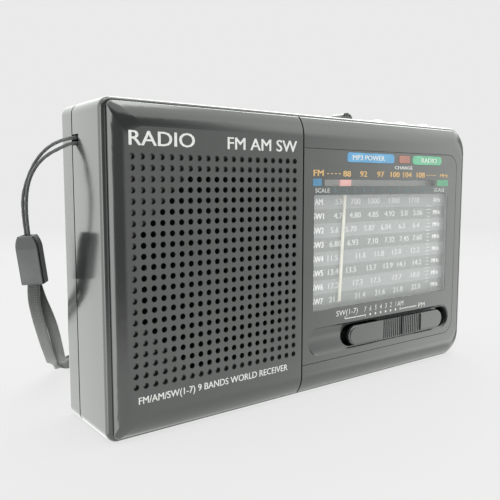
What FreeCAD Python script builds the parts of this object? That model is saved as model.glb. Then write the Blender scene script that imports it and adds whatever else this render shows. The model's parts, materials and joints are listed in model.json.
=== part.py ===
"""A pocket shortwave receiver: a case in two halves, a perforated loudspeaker panel, a slide-rule dial with
its pointer and cord drive, a sliding band switch, thumb wheels, top keys, a telescopic aerial and a wrist
strap.

Millimetres. +Z is up, the front faces -Y, and the origin is the middle of the face that it stands on.
"""
import FreeCAD
import Part
import Sketcher
import math
import os

from FreeCAD import Placement, Rotation, Vector

doc = FreeCAD.newDocument("Receiver")

# ---------------------------------------------------------------- driving dimensions
DIMENSIONS = {
    # case
    "case_width": 132.8, "case_height": 78.5, "case_depth": 27.5, "wall": 1.8, "corner": 2.6,
    "far_corner": 7.0, "seam_depth": 18.75, "rear_edge": 2.4, "front_wall": 1.6,
    # raised front: it stands on a lip that runs all round
    "lip_depth": 2.6, "lip_edge": 0.85, "lip_left_edge": 1.3, "seam_edge": 0.2, "seam_gap": 0.5,
    "seam_groove": 0.6, "lip_width": 0.9, "lip_left": 1.4, "lip_right": 1.0, "rim": 0.5, "rim_edge": 0.42,
    "long_arc": 8.0, "left_arc": 5.0, "right_arc": 4.0, "left_corner": 1.3, "right_corner": 6.0,
    "corner_gain": 2.6, "groove_x": -9.63, "groove_gap": 0.45,
    # loudspeaker panel
    "hole_pitch": 2.5, "hole_bore": 1.45, "dimple_deep": 0.8, "grille_plate": 1.6,
    "grille_x": -35.28, "grille_z": 38.0, "speaker_rim": 22.5,
    # dial panel
    "panel_low": 8.9, "panel_top": 69.3, "panel_right": 59.62, "panel_corner": 4.5, "panel_gap": 0.15,
    "panel_plate": 2.4, "panel_thin": 1.2, "ledge": 1.5,
    "window_left": -5.58, "window_right": 55.02, "window_low": 23.8, "window_top": 56.5,
    "strip_left": -1.68, "strip_right": 47.57, "strip_low": 58.97, "strip_top": 60.8,
    "lamp_gap": 0.06, "lamp_proud": 0.12,
    # scale plate, pointer and cord drive
    "scale_deep": 2.6, "scale_plate": 1.0, "needle_deep": 1.9, "needle_plate": 0.4, "needle_wide": 0.9,
    "pointer_x": 8.7, "head_wide": 4.2, "rail_bore": 0.8, "rail_rod": 0.75, "rail_y": -9.0, "rail_z": 64.7,
    "cord_y": -7.3, "cord_rod": 0.25, "guide_z": 64.9, "guide_left": -4.6, "guide_right": 53.5,
    "guide_rod": 1.9, "drum_x": 30.0, "drum_z": 40.0, "drum_run": 13.05, "spindle_run": 4.0,
    "tune_x": 57.0, "tune_z": 52.0, "tune_rim": 11.0, "pin_rod": 1.0, "pin_fit": 0.06,
    "volume_x": 58.5, "volume_z": 24.0, "volume_rim": 9.4, "wheel_front": -5.6, "wheel_back": -2.4,
    # band switch
    "bay_left": -6.9, "bay_right": 57.02, "bay_low": 11.3, "bay_top": 18.6, "bay_deep": 1.0,
    "bay_step": 0.3, "bay_flare": 0.4,
    "slot_left": 6.3, "slot_low": 11.55, "slot_top": 18.35,
    "knob_left": 8.25, "knob_right": 52.8, "knob_low": 11.9, "knob_top": 17.8,
    # board
    "board_front": 1.0, "board_plate": 1.6,
    # top keys
    "key_y": -3.75, "key_rod": 2.75, "key_gap": 0.25, "mode_x": 14.7,
    # aerial
    "aerial_x": -53.0, "aerial_y": 10.2, "aerial_z": 75.0, "aerial_rod": 2.7, "tube_wall": 0.32,
    "tube_fit": 0.08, "channel_front": 6.6, "channel_floor": 71.5,
    # battery door
    "door_left": -3.0, "door_low": 9.5, "door_top": 45.0, "door_plate": 1.2, "door_gap": 0.2,
    # wrist strap
    "string_rod": 0.425, "webbing_rod": 0.7,
}

sheet = doc.addObject("Spreadsheet::Sheet", "Sizes")
for row, (alias, value) in enumerate(DIMENSIONS.items(), start=1):
    sheet.set(f"A{row}", alias.replace("_", " "))
    sheet.set(f"B{row}", str(value))
    sheet.setAlias(f"B{row}", alias)
doc.recompute()


class Size:
    """A length together with the spreadsheet expression that gives it."""

    def __init__(self, value, text):
        self.value, self.text = value, text

    def __add__(self, other):
        other = sized(other)
        return Size(self.value + other.value, f"({self.text} + {other.text})")

    def __sub__(self, other):
        other = sized(other)
        return Size(self.value - other.value, f"({self.text} - {other.text})")

    def __mul__(self, number):
        return Size(self.value * number, f"({self.text} * {number})")

    def __neg__(self):
        return Size(-self.value, f"(0 - {self.text})")

    def __radd__(self, other):
        return sized(other) + self

    def __rsub__(self, other):
        return sized(other) - self


def sized(number):
    return number if isinstance(number, Size) else Size(float(number), repr(round(float(number), 6)))


def cell(alias):
    return Size(DIMENSIONS[alias], f"Sizes.{alias}")


def arc_reach(radius, depth):
    """How far along a face an arc runs that leaves the face smoothly and falls by depth."""
    value = math.sqrt(2 * radius.value * depth.value - depth.value ** 2)
    return Size(value, f"sqrt(2 * {radius.text} * {depth.text} - {depth.text} * {depth.text})")


def dome_radius(radius, rise):
    """The radius of a dome that stands this high over a round rim."""
    value = (radius.value ** 2 + rise.value ** 2) / (2 * rise.value)
    return Size(value, f"(({radius.text} * {radius.text} + {rise.text} * {rise.text}) / (2 * {rise.text}))")


# Levels that many sub-parts share
LEFT, RIGHT = -(cell("case_width") * 0.5), cell("case_width") * 0.5
TOP = cell("case_height")
FRONT, BACK = -(cell("case_depth") * 0.5), cell("case_depth") * 0.5
LIP = FRONT + cell("lip_depth")
SEAM = FRONT + cell("seam_depth")
DECK = LIP + cell("front_wall")
PANEL_BACK = FRONT + cell("panel_plate")
GROOVE_LEFT = cell("groove_x") - cell("groove_gap") * 0.5
GROOVE_RIGHT = cell("groove_x") + cell("groove_gap") * 0.5
BOARD_BACK = cell("board_front") + cell("board_plate")
SCREWS = [(-60.0, 5.6), (60.0, 5.6), (-40.0, 67.8), (59.0, 67.8)]
KEYS = [30.5, 41.8, 53.4]
DOME_LEVELS = [(k / 6) ** 2 for k in (6, 5, 4, 3, 2, 1, 0)]
LAMPS = {"lamp_blue": (7.02, 27.52, 65.75, 68.65, 0.9), "lamp_red": (29.72, 34.92, 65.95, 68.45, 0.5),
         "lamp_green": (36.12, 51.12, 65.65, 68.6, 1.3)}
PLANES = {"XY": Rotation(), "XZ": Rotation(Vector(1, 0, 0), 90), "YZ": Rotation(Vector(1, 1, 1), 120)}
NORMALS = {"XY": ("z", Vector(0, 0, 1)), "XZ": ("y", Vector(0, 1, 0)), "YZ": ("x", Vector(1, 0, 0))}
ALONG = {"X": Rotation(Vector(0, 1, 0), 90), "Y": Rotation(Vector(1, 0, 0), -90), "Z": Rotation()}

sub_parts = []


# ---------------------------------------------------------------- helpers
def bind(item, **sizes):
    """Ties properties of a document object to the spreadsheet."""
    for name, number in sizes.items():
        item.setExpression(name.replace("__", "."), sized(number).text)
    return item


def place(item, x, y, z, turn=None):
    item.Placement = Placement(Vector(0, 0, 0), turn or Rotation())
    return bind(item, Placement__Base__x=x, Placement__Base__y=y, Placement__Base__z=z)


def block(name, x, y, z):
    """A box between pairs of limits."""
    item = doc.addObject("Part::Box", name)
    bind(item, Length=sized(x[1]) - x[0], Width=sized(y[1]) - y[0], Height=sized(z[1]) - z[0])
    return place(item, x[0], y[0], z[0])


def rod(name, radius, length, at, along):
    """A cylinder that starts at a point and runs along an axis."""
    item = doc.addObject("Part::Cylinder", name)
    bind(item, Radius=radius, Height=length)
    return place(item, *at, turn=ALONG[along])


def draw(sketch, points):
    """A closed outline in a sketch, every corner held by a size. A point is (u, v), or (u, v, radius) where an
    arc of that radius leads to it from the point before; a negative radius is an arc that turns clockwise."""
    corners = [(sized(p[0]), sized(p[1])) for p in points]
    ends = []
    for i, point in enumerate(points):
        (u0, v0), (u1, v1) = corners[i - 1], corners[i]
        start, end = Vector(u0.value, v0.value, 0), Vector(u1.value, v1.value, 0)
        if len(point) == 2:
            ends.append((sketch.addGeometry(Part.LineSegment(start, end), False), 1, 2))
            continue
        radius = sized(point[2])
        half, across = (end - start) * 0.5, (end - start).cross(Vector(0, 0, -1))
        across.normalize()
        bow = math.sqrt(max(radius.value ** 2 - half.Length ** 2, 0.0))
        centre = start + half + across * (bow if radius.value > 0 else -bow)
        first, last = (start, end) if radius.value > 0 else (end, start)
        angle_0 = math.atan2(first.y - centre.y, first.x - centre.x)
        angle_1 = math.atan2(last.y - centre.y, last.x - centre.x)
        if angle_1 < angle_0:
            angle_1 += 2 * math.pi
        circle = Part.Circle(centre, Vector(0, 0, 1), abs(radius.value))
        index = sketch.addGeometry(Part.ArcOfCircle(circle, angle_0, angle_1), False)
        ends.append((index, 1, 2) if radius.value > 0 else (index, 2, 1))
        rule = sketch.addConstraint(Sketcher.Constraint("Radius", index, abs(radius.value)))
        text = radius.text if radius.value > 0 else (-radius).text
        sketch.setExpression(f"Constraints[{rule}]", text)
    for i, (index, _, last) in enumerate(ends):
        after, first, _ = ends[(i + 1) % len(ends)]
        sketch.addConstraint(Sketcher.Constraint("Coincident", index, last, after, first))
        for kind, number in (("DistanceX", corners[i][0]), ("DistanceY", corners[i][1])):
            rule = sketch.addConstraint(Sketcher.Constraint(kind, -1, 1, index, last, number.value))
            sketch.setExpression(f"Constraints[{rule}]", number.text)


def outline(name, plane, points, at=0.0):
    """A sketch on a plane of the row frame, moved along the plane's normal."""
    sketch = doc.addObject("Sketcher::SketchObject", name)
    draw(sketch, points)
    where = {"x": 0.0, "y": 0.0, "z": 0.0}
    where[NORMALS[plane][0]] = at
    return place(sketch, where["x"], where["y"], where["z"], turn=PLANES[plane])


def prism(name, plane, points, start, end):
    """An outline on a plane, swept from one level to another."""
    item = doc.addObject("Part::Extrusion", name)
    item.Base = outline(name + "_outline", plane, points, start)
    item.DirMode = "Custom"
    item.Dir = NORMALS[plane][1]
    item.Solid = True
    return bind(item, LengthFwd=sized(end) - start)


def rounded(u, v, radius, right_radius=None):
    """The points of a rectangle with rounded corners; its right corners may have a radius of their own."""
    u0, u1, v0, v1, r = sized(u[0]), sized(u[1]), sized(v[0]), sized(v[1]), sized(radius)
    q = r if right_radius is None else sized(right_radius)
    return [(u1 - q, v0), (u1, v0 + q, q), (u1, v1 - q), (u1 - q, v1, q), (u0 + r, v1),
            (u0, v1 - r, r), (u0, v0 + r), (u0 + r, v0, r)]


def rectangle(u, v):
    return [(u[0], v[0]), (u[1], v[0]), (u[1], v[1]), (u[0], v[1])]


def stadium(u, v):
    """A slot outline with half-round ends."""
    u0, u1, v0, v1 = sized(u[0]), sized(u[1]), sized(v[0]), sized(v[1])
    r = (v1 - v0) * 0.5
    mid = v0 + r
    return [(u1 - r, v0), (u1, mid, r), (u1 - r, v1, r), (u0 + r, v1), (u0, mid, r),
            (u0 + r, v0, r)]


def fuse(name, *items):
    item = doc.addObject("Part::MultiFuse", name)
    item.Shapes = list(items)
    item.Refine = True
    return item


def common(name, *items):
    item = doc.addObject("Part::MultiCommon", name)
    item.Shapes = list(items)
    return item


def cut(name, base, *tools):
    item = doc.addObject("Part::Cut", name)
    item.Base = base
    item.Tool = tools[0] if len(tools) == 1 else fuse(name + "_tools", *tools)
    item.Refine = True
    return item


def round_edges(name, base, radius, chosen):
    """Rounds the edges of base whose ends and middle all pass the test. The radius is a number, or a rule that
    gives one for each end of an edge."""
    size = radius if callable(radius) else lambda p: radius
    doc.recompute()
    numbers = []
    for number, edge in enumerate(base.Shape.Edges, start=1):
        middle = edge.valueAt((edge.FirstParameter + edge.LastParameter) / 2)
        if all(chosen(p) for p in [middle, *(v.Point for v in edge.Vertexes)]):
            numbers.append((number, size(edge.Vertexes[0].Point), size(edge.Vertexes[-1].Point)))
    item = doc.addObject("Part::Fillet", name)
    item.Base = base
    item.Edges = numbers
    return item


def holes(name, centres, radius, start, end):
    """Plain round bores along Y, as one tool: one solid for each centre."""
    item = doc.addObject("Part::Feature", name)
    item.Shape = Part.makeCompound([
        Part.makeCylinder(radius, end - start, Vector(x, start, z), Vector(0, 1, 0)) for x, z in centres])
    return item


def turned(name, profile, at, along="Y"):
    """A turned piece: a profile of (radius, height) points, revolved about the height axis."""
    body = doc.addObject("PartDesign::Body", name)
    sketch = body.newObject("Sketcher::SketchObject", name + "_profile")
    plane = next(f for f in body.Origin.OriginFeatures if f.Role == "XZ_Plane")
    sketch.AttachmentSupport = [(plane, "")]
    sketch.MapMode = "FlatFace"
    draw(sketch, profile)
    turn = body.newObject("PartDesign::Revolution", name + "_turn")
    turn.Profile = sketch
    turn.ReferenceAxis = (sketch, ["V_Axis"])
    turn.Angle = 360.0
    body.Tip = turn
    place(body, *at, turn=ALONG[along])
    return body


def notch_rim(body, name, rim, notch, height, count):
    """Even V notches round the rim of a turned piece, for the thumb."""
    sketch = body.newObject("Sketcher::SketchObject", name + "_notch")
    plane = next(f for f in body.Origin.OriginFeatures if f.Role == "XY_Plane")
    sketch.AttachmentSupport = [(plane, "")]
    sketch.MapMode = "FlatFace"
    draw(sketch, [(rim - notch, 0.0), (rim + notch, sized(notch) * -1.0), (rim + notch, notch)])
    pocket = body.newObject("PartDesign::Pocket", name + "_pocket")
    pocket.Profile = sketch
    pocket.Midplane = True
    pocket.Type = "Length"
    bind(pocket, Length=height)
    ring = body.newObject("PartDesign::PolarPattern", name + "_ring")
    ring.Originals = [pocket]
    ring.Axis = (sketch, ["N_Axis"])
    ring.Angle = 360.0
    ring.Occurrences = count
    body.Tip = ring
    return body


def keep(label, item):
    """Registers a finished sub-part under its own name."""
    item.Label = label
    sub_parts.append(item)
    return item


# ---------------------------------------------------------------- raised front
def case_outline():
    return rounded((LEFT, RIGHT), (0.0, TOP), cell("corner"), cell("far_corner"))


def raised_outline(depth):
    """The raised front's outline at a depth below its flat: each side falls away along an arc of its own."""
    dome = cell("lip_depth") - cell("rim")
    share = 1.0 - math.sqrt(depth.value / dome.value)
    inward = [arc_reach(cell(arc), dome) - arc_reach(cell(arc), depth)
              for arc in ("left_arc", "right_arc", "long_arc")]
    gain = cell("corner_gain") * share
    return rounded((LEFT + cell("lip_left") + inward[0], RIGHT - cell("lip_right") - inward[1]),
                   (cell("lip_width") + inward[2], TOP - cell("lip_width") - inward[2]),
                   cell("left_corner") + gain, cell("right_corner") - gain * 0.5)


def make_raised_front():
    """A soft dome on a low upright rim, with one smooth skin round its corners."""
    dome = cell("lip_depth") - cell("rim")
    skin = doc.addObject("Part::Loft", "raised_dome")
    skin.Sections = [outline(f"raised_section_{i}", "XZ", raised_outline(dome * share), FRONT + dome * share)
                     for i, share in enumerate(DOME_LEVELS)]
    skin.Solid, skin.Ruled = True, False
    foot = prism("raised_rim", "XZ", raised_outline(dome), FRONT + dome, LIP)
    level = (FRONT + dome).value
    return round_edges("raised_front", fuse("raised_solid", skin, foot), DIMENSIONS["rim_edge"],
                       lambda p: abs(p.y - level) < 1e-4)


RAISED_FRONT = make_raised_front()


def raised(name, x):
    """The part of the raised front between two limits along X."""
    return common(name, RAISED_FRONT, block(name + "_span", x, (FRONT - 1.0, LIP + 1.0), (-1.0, TOP + 1.0)))


def panel_outline(gap):
    """The dial panel's outline: square at the groove, rounded at its right corners."""
    left, right = GROOVE_RIGHT, cell("panel_right") - gap
    low, high, r = cell("panel_low") + gap, cell("panel_top") - gap, cell("panel_corner") - gap
    return [(left, low), (right - r, low), (right, low + r, r), (right, high - r), (right - r, high, r),
            (left, high)]


def lip_radius(point):
    """The lip is rounder along the case's left side."""
    return DIMENSIONS["lip_left_edge" if point.x < LEFT.value + 0.1 else "lip_edge"]


def make_front_shell():
    block_shape = prism("shell_block", "XZ", case_outline(), LIP, SEAM)
    outer = round_edges("shell_outer", block_shape, lip_radius, lambda p: p.y < LIP.value + 1e-4)
    wall, inner = cell("wall"), cell("corner") - 1.0
    cavity = prism("shell_cavity", "XZ", rounded((LEFT + wall, RIGHT - wall), (wall, TOP - wall), inner,
                   cell("far_corner") - 1.5), DECK, SEAM + 1.0)
    tub = cut("shell_tub", outer, cavity)
    frame = raised("shell_frame", (GROOVE_RIGHT, RIGHT + 1.0))
    bosses = [rod(f"shell_boss_{i}", 2.4, SEAM - 0.2 - DECK, (x, DECK, z), "Y")
              for i, (x, z) in enumerate(SCREWS)]
    bar_rib = block("shell_bar_rib", (LEFT + wall - 0.2, -62.1), (-0.4, 0.9), (68.7, 70.9))
    bar = rod("shell_bar", 0.5, 4.0, (-62.9, 0.7, 69.8), "Y")
    solid = fuse("shell_solid", tub, frame, *bosses, bar_rib, bar)
    ledge = cell("ledge")
    pocket = prism("shell_panel_pocket", "XZ", panel_outline(0.0), FRONT - 1.0, PANEL_BACK)
    behind = block("shell_panel_opening", (GROOVE_RIGHT + 2.0, cell("panel_right") - ledge),
                   (PANEL_BACK - 0.1, DECK + 0.1), (cell("panel_low") + ledge, cell("panel_top") - ledge))
    speaker = block("shell_speaker_opening", (-62.2, -12.4), (LIP - 0.1, DECK + 0.1), (8.2, 64.8))
    lanyard = block("shell_lanyard_hole", (LEFT - 1.0, LEFT + wall + 0.4), (1.35, SEAM + 1.0), (68.5, 71.1))
    slot_y = (cell("wheel_front") - 0.4, cell("wheel_back") + 0.4)
    wall_x = (RIGHT - wall - 0.5, RIGHT + 1.0)
    tools = [pocket, behind, speaker, lanyard,
             block("shell_tuning_slot", wall_x, slot_y, (cell("tune_z") - 8.6, cell("tune_z") + 8.6)),
             block("shell_volume_slot", wall_x, slot_y, (cell("volume_z") - 7.8, cell("volume_z") + 7.8)),
             rod("shell_jack_hole", 2.8, 4.0, (RIGHT - 3.0, -4.0, 38.0), "X"),
             block("shell_charge_hole", wall_x, (-5.5, -2.5), (62.7, 70.3)),
             block("shell_mode_slot", (cell("mode_x") - 5.4, cell("mode_x") + 5.4),
                   (cell("key_y") - 1.25, cell("key_y") + 1.25), (TOP - wall - 0.5, TOP + 1.0))]
    for i, x in enumerate(KEYS):
        tools.append(rod(f"shell_key_hole_{i}", cell("key_rod") + cell("key_gap"), wall + 2.0,
                         (x, cell("key_y"), TOP - wall - 1.0), "Z"))
    for i, (x, z) in enumerate(SCREWS):
        tools.append(rod(f"shell_boss_bore_{i}", 1.25, 12.0, (x, SEAM - 11.0, z), "Y"))
    keep("front_shell", cut("front_shell_body", solid, *tools))


def make_speaker_grille():
    """The perforated panel: a field of bores 20 by 22, open inside an octagon over the cone, blind outside it."""
    plate = raised("grille_plate_solid", (LEFT - 1.0, GROOVE_LEFT))
    back = FRONT + cell("grille_plate")
    hollow = prism("grille_hollow", "XZ", rounded((-62.6, -12.2), (7.0, 71.0), 2.0), back, LIP + 1.0)
    pitch, radius = DIMENSIONS["hole_pitch"], DIMENSIONS["hole_bore"] / 2
    open_holes, dimples = [], []
    for column in range(-10, 10):
        for row in range(-11, 11):
            across, down = abs(column), abs(row)
            centre = (DIMENSIONS["grille_x"] + column * pitch, DIMENSIONS["grille_z"] - row * pitch)
            is_open = max(across, down) <= 9 and across + down <= 13
            (open_holes if is_open else dimples).append(centre)
    start = FRONT.value - 0.5
    panel = cut("grille_hollowed", plate, hollow)
    bored = cut("grille_bored", panel, holes("grille_bores", open_holes, radius, start, back.value + 0.4))
    bored.Refine = False
    dimpled = cut("grille_dimpled", bored,
                  holes("grille_dimples", dimples, radius, start, FRONT.value + DIMENSIONS["dimple_deep"]))
    dimpled.Refine = False
    keep("speaker_grille", dimpled)


def bay_stadium(spread):
    """The switch bay's outline, grown by spread on every side."""
    return stadium((cell("bay_left") - spread, cell("bay_right") + spread),
                   (cell("bay_low") - spread, cell("bay_top") + spread))


def make_bay_flare():
    """A sloped edge all round the switch bay."""
    flare, step = cell("bay_flare"), cell("bay_step")
    skin = doc.addObject("Part::Loft", "panel_bay_flare")
    skin.Sections = [outline("panel_bay_mouth", "XZ", bay_stadium(flare), FRONT),
                     outline("panel_bay_throat", "XZ", bay_stadium(0.0), FRONT + step)]
    skin.Solid, skin.Ruled = True, True
    return skin


def make_dial_panel():
    gap, thin = cell("panel_gap"), FRONT + cell("panel_thin")
    window_x, window_z = (cell("window_left"), cell("window_right")), (cell("window_low"), cell("window_top"))
    strip_x, strip_z = (cell("strip_left"), cell("strip_right")), (cell("strip_low"), cell("strip_top"))
    plate = prism("panel_plate_solid", "XZ", panel_outline(gap), FRONT, PANEL_BACK)
    through = (FRONT - 1.0, PANEL_BACK + 1.0)
    bay_outline = bay_stadium(0.0)
    bay = prism("panel_bay_outline", "XZ", bay_outline, FRONT - 1.0, FRONT + cell("bay_deep"))
    half = (cell("bay_top") - cell("bay_low")) * 0.5
    bend = dome_radius(half, cell("bay_deep") - cell("bay_step"))
    trough = rod("panel_bay_trough", bend, 66.0,
                 (cell("bay_left") - 1.0, FRONT + cell("bay_deep") - bend, cell("bay_low") + half), "X")
    tools = [
        prism("panel_window", "XZ", rounded(window_x, window_z, 0.4), *through),
        prism("panel_strip", "XZ", rounded(strip_x, strip_z, 0.3), *through),
        block("panel_back_pocket", (-8.2, 57.8), (thin, PANEL_BACK + 1.0), (21.8, 65.2)),
        common("panel_switch_bay", bay, trough),
        prism("panel_bay_step", "XZ", bay_outline, FRONT - 1.0, FRONT + cell("bay_step")),
        make_bay_flare(),
        prism("panel_switch_slot", "XZ", stadium((cell("slot_left"), cell("bay_right") - 0.2),
              (cell("slot_low"), cell("slot_top"))), *through)]
    for name, (x0, x1, z0, z1, r) in LAMPS.items():
        tools.append(prism(name + "_hole", "XZ", rounded((x0, x1), (z0, z1), r), *through))
    keep("dial_panel", cut("dial_panel_body", plate, *tools))
    inset = 0.05
    lens = fuse(
        "dial_lens_body",
        block("lens_flange", (-7.9, 57.5), (thin, thin + 0.4), (22.1, 62.9)),
        prism("lens_window", "XZ", rounded((window_x[0] + inset, window_x[1] - inset),
              (window_z[0] + inset, window_z[1] - inset), 0.35), FRONT + 0.1, thin + 0.2),
        prism("lens_strip", "XZ", rounded((strip_x[0] + inset, strip_x[1] - inset),
              (strip_z[0] + inset, strip_z[1] - inset), 0.25), FRONT + 0.1, thin + 0.2))
    keep("dial_lens", lens)
    for name, (x0, x1, z0, z1, r) in LAMPS.items():
        f = cell("lamp_gap")
        pill = prism(name + "_pill", "XZ", rounded((x0 + f, x1 - f), (z0 + f, z1 - f), r - 0.05),
                     FRONT - cell("lamp_proud"), PANEL_BACK)
        crown = round_edges(name + "_crown", pill, 0.1,
                            lambda p: p.y < FRONT.value - DIMENSIONS["lamp_proud"] + 1e-4)
        keep(name, crown)


# ---------------------------------------------------------------- scale, pointer and cord drive
def make_scale():
    front = FRONT + cell("scale_deep")
    back = front + cell("scale_plate")
    ear_z, ear_y = (63.0, 66.6), (back - 0.1, -8.1)
    pieces = [
        block("scale_sheet", (-7.2, 57.9), (front, back), (21.0, 62.6)),
        block("scale_ear_left", (-7.2, -2.0), (front, back), (62.0, 67.4)),
        block("scale_ear_right", (47.0, 56.1), (front, back), (62.0, 67.4)),
        block("scale_rest_left", (-7.2, -2.0), ear_y, ear_z),
        block("scale_rest_right", (47.0, 56.1), ear_y, ear_z)]
    for side in ("left", "right"):
        x = cell("guide_" + side)
        pieces += [rod(f"guide_{side}_barrel", cell("guide_rod"), 2.3, (x, -8.3, cell("guide_z")), "Y"),
                   rod(f"guide_{side}_flange", 2.5, 0.4, (x, -6.4, cell("guide_z")), "Y")]
    for i, (x, z) in enumerate([(-4.5, 25.0), (3.0, 58.0), (44.0, 57.0), (36.0, 24.0)]):
        pieces.append(rod(f"scale_post_{i}", 1.5, cell("board_front") - back + 0.1, (x, back - 0.1, z), "Y"))
    keep("dial_plate", fuse("dial_plate_body", *pieces))
    keep("pointer_rail", rod("pointer_rail_rod", cell("rail_rod"), 49.0,
                             (-2.0, cell("rail_y"), cell("rail_z")), "X"))


def make_pointer():
    x, half = cell("pointer_x"), cell("head_wide") * 0.5
    front = FRONT + cell("needle_deep")
    back = front + cell("needle_plate")
    lean = 1.9
    wide = cell("needle_wide") * 0.5
    needle = [(x - lean - wide, 25.1), (x - lean + wide, 25.1), (x + wide, 58.9), (x - wide, 58.9)]
    carriage = cut(
        "pointer_carriage",
        block("pointer_carriage_block", (x - 2.8, x + 2.8), (-10.2, -7.9), (63.1, 66.3)),
        rod("pointer_carriage_bore", cell("rail_bore"), 8.0, (x - 4.0, cell("rail_y"), cell("rail_z")), "X"))
    keep("dial_pointer", fuse(
        "dial_pointer_body",
        prism("pointer_needle", "XZ", needle, front, back),
        prism("pointer_head", "XZ", rounded((x - half, x + half), (58.7, 64.0), 0.3), front, back),
        block("pointer_arm", (x - half, x + half), (front + 0.1, -9.9), (63.1, 64.0)),
        carriage))


def belt(name, circles, y, radius):
    """A closed cord round circles of (x, z, run radius) that all turn the same way, given clockwise."""
    runs = []
    for (x0, z0, r0), (x1, z1, r1) in zip(circles, circles[1:] + circles[:1]):
        gap = math.hypot(x1 - x0, z1 - z0)
        heading = math.atan2(z1 - z0, x1 - x0) + math.asin((r0 - r1) / gap) * -1
        normal = Vector(-math.sin(heading), 0, math.cos(heading))
        runs.append((Vector(x0, y, z0) + normal * r0, Vector(x1, y, z1) + normal * r1))
    edges = []
    for i, (start, end) in enumerate(runs):
        edges.append(Part.LineSegment(start, end).toShape())
        x, z, r = circles[(i + 1) % len(circles)]
        after = runs[(i + 1) % len(runs)][0]
        centre = Vector(x, y, z)
        middle = (end - centre) + (after - centre)
        middle.normalize()
        if (end - centre).cross(after - centre).y < 0:
            middle = middle * -1
        edges.append(Part.Arc(end, centre + middle * r, after).toShape())
    wire = Part.Wire(edges)
    start, end = runs[0]
    section = Part.Wire([Part.Circle(start, end - start, radius).toShape()])
    item = doc.addObject("Part::Feature", name)
    item.Shape = Part.makeSolid(wire.makePipeShell([section], True, False))
    print(f"{name}: loop {wire.Length:.1f} mm, volume over section times length "
          f"{item.Shape.Volume / (math.pi * radius ** 2 * wire.Length):.3f}")
    return item


def make_drive():
    y, run, spin = cell("cord_y"), cell("drum_run"), cell("spindle_run")
    groove, cheek = run - 0.4, run + 0.85
    drum = [(0.0, -1.3), (cheek, -1.3), (cheek, -0.8), (groove, -0.8), (groove, 0.8), (cheek, 0.8),
            (cheek, 1.3), (2.4, 1.3), (2.4, 1.9), (1.5, 1.9), (1.5, 6.3), (0.0, 6.3)]
    keep("dial_drum", turned("dial_drum_body", drum, (cell("drum_x"), y, cell("drum_z"))))
    bore = cell("pin_rod") + cell("pin_fit")
    barrel, rim = spin - 0.4, cell("tune_rim")
    face, rear = cell("wheel_front") - y, cell("wheel_back") - y
    wheel = [(bore, -1.5), (barrel + 1.3, -1.5), (barrel + 1.3, -0.9), (barrel, -0.9), (barrel, 0.9),
             (barrel + 1.3, 0.9), (barrel + 1.3, face), (rim - 0.4, face), (rim, face + 0.4),
             (rim, rear - 0.4), (rim - 0.4, rear), (bore, rear)]
    tuner = turned("tuning_wheel_body", wheel, (cell("tune_x"), y, cell("tune_z")))
    keep("tuning_wheel", notch_rim(tuner, "tuning_wheel", rim, 0.5, 24.0, 48))
    keep("tuning_pin", rod("tuning_pin_rod", cell("pin_rod"), cell("board_front") + 9.4,
                           (cell("tune_x"), -9.4, cell("tune_z")), "Y"))
    loud, back = cell("volume_rim"), cell("wheel_back")
    disc = [(0.0, 0.0), (loud - 0.4, 0.0), (loud, 0.4), (loud, 2.8), (loud - 0.4, 3.2), (2.6, 3.2),
            (2.6, 3.7), (1.5, 3.7), (1.5, 5.2), (0.0, 5.2)]
    dimmer = turned("volume_wheel_body", disc, (cell("volume_x"), cell("wheel_front"), cell("volume_z")))
    keep("volume_wheel", notch_rim(dimmer, "volume_wheel", loud, 0.5, 24.0, 40))
    pot = block("volume_pot_block", (52.5, 64.0), (back + 0.8, cell("board_front")), (18.0, 30.0))
    pot_bore = rod("volume_pot_bore", 1.56, 2.0, (cell("volume_x"), back + 0.7, cell("volume_z")), "Y")
    keep("volume_pot", cut("volume_pot_body", pot, pot_bore))
    can = block("capacitor_block", (20.0, 40.0), (-5.2, cell("board_front")), (30.0, 50.0))
    can_bore = rod("capacitor_bore", 1.56, 4.4, (cell("drum_x"), -5.3, cell("drum_z")), "Y")
    keep("tuning_capacitor", cut("tuning_capacitor_body", can, can_bore))
    guide = DIMENSIONS["guide_rod"] + DIMENSIONS["cord_rod"] + 0.05
    ring = [(DIMENSIONS["guide_left"], DIMENSIONS["guide_z"], guide),
            (DIMENSIONS["guide_right"], DIMENSIONS["guide_z"], guide),
            (DIMENSIONS["tune_x"], DIMENSIONS["tune_z"], DIMENSIONS["spindle_run"]),
            (DIMENSIONS["drum_x"], DIMENSIONS["drum_z"], DIMENSIONS["drum_run"])]
    keep("dial_cord", belt("dial_cord_loop", ring, DIMENSIONS["cord_y"], DIMENSIONS["cord_rod"]))


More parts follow.
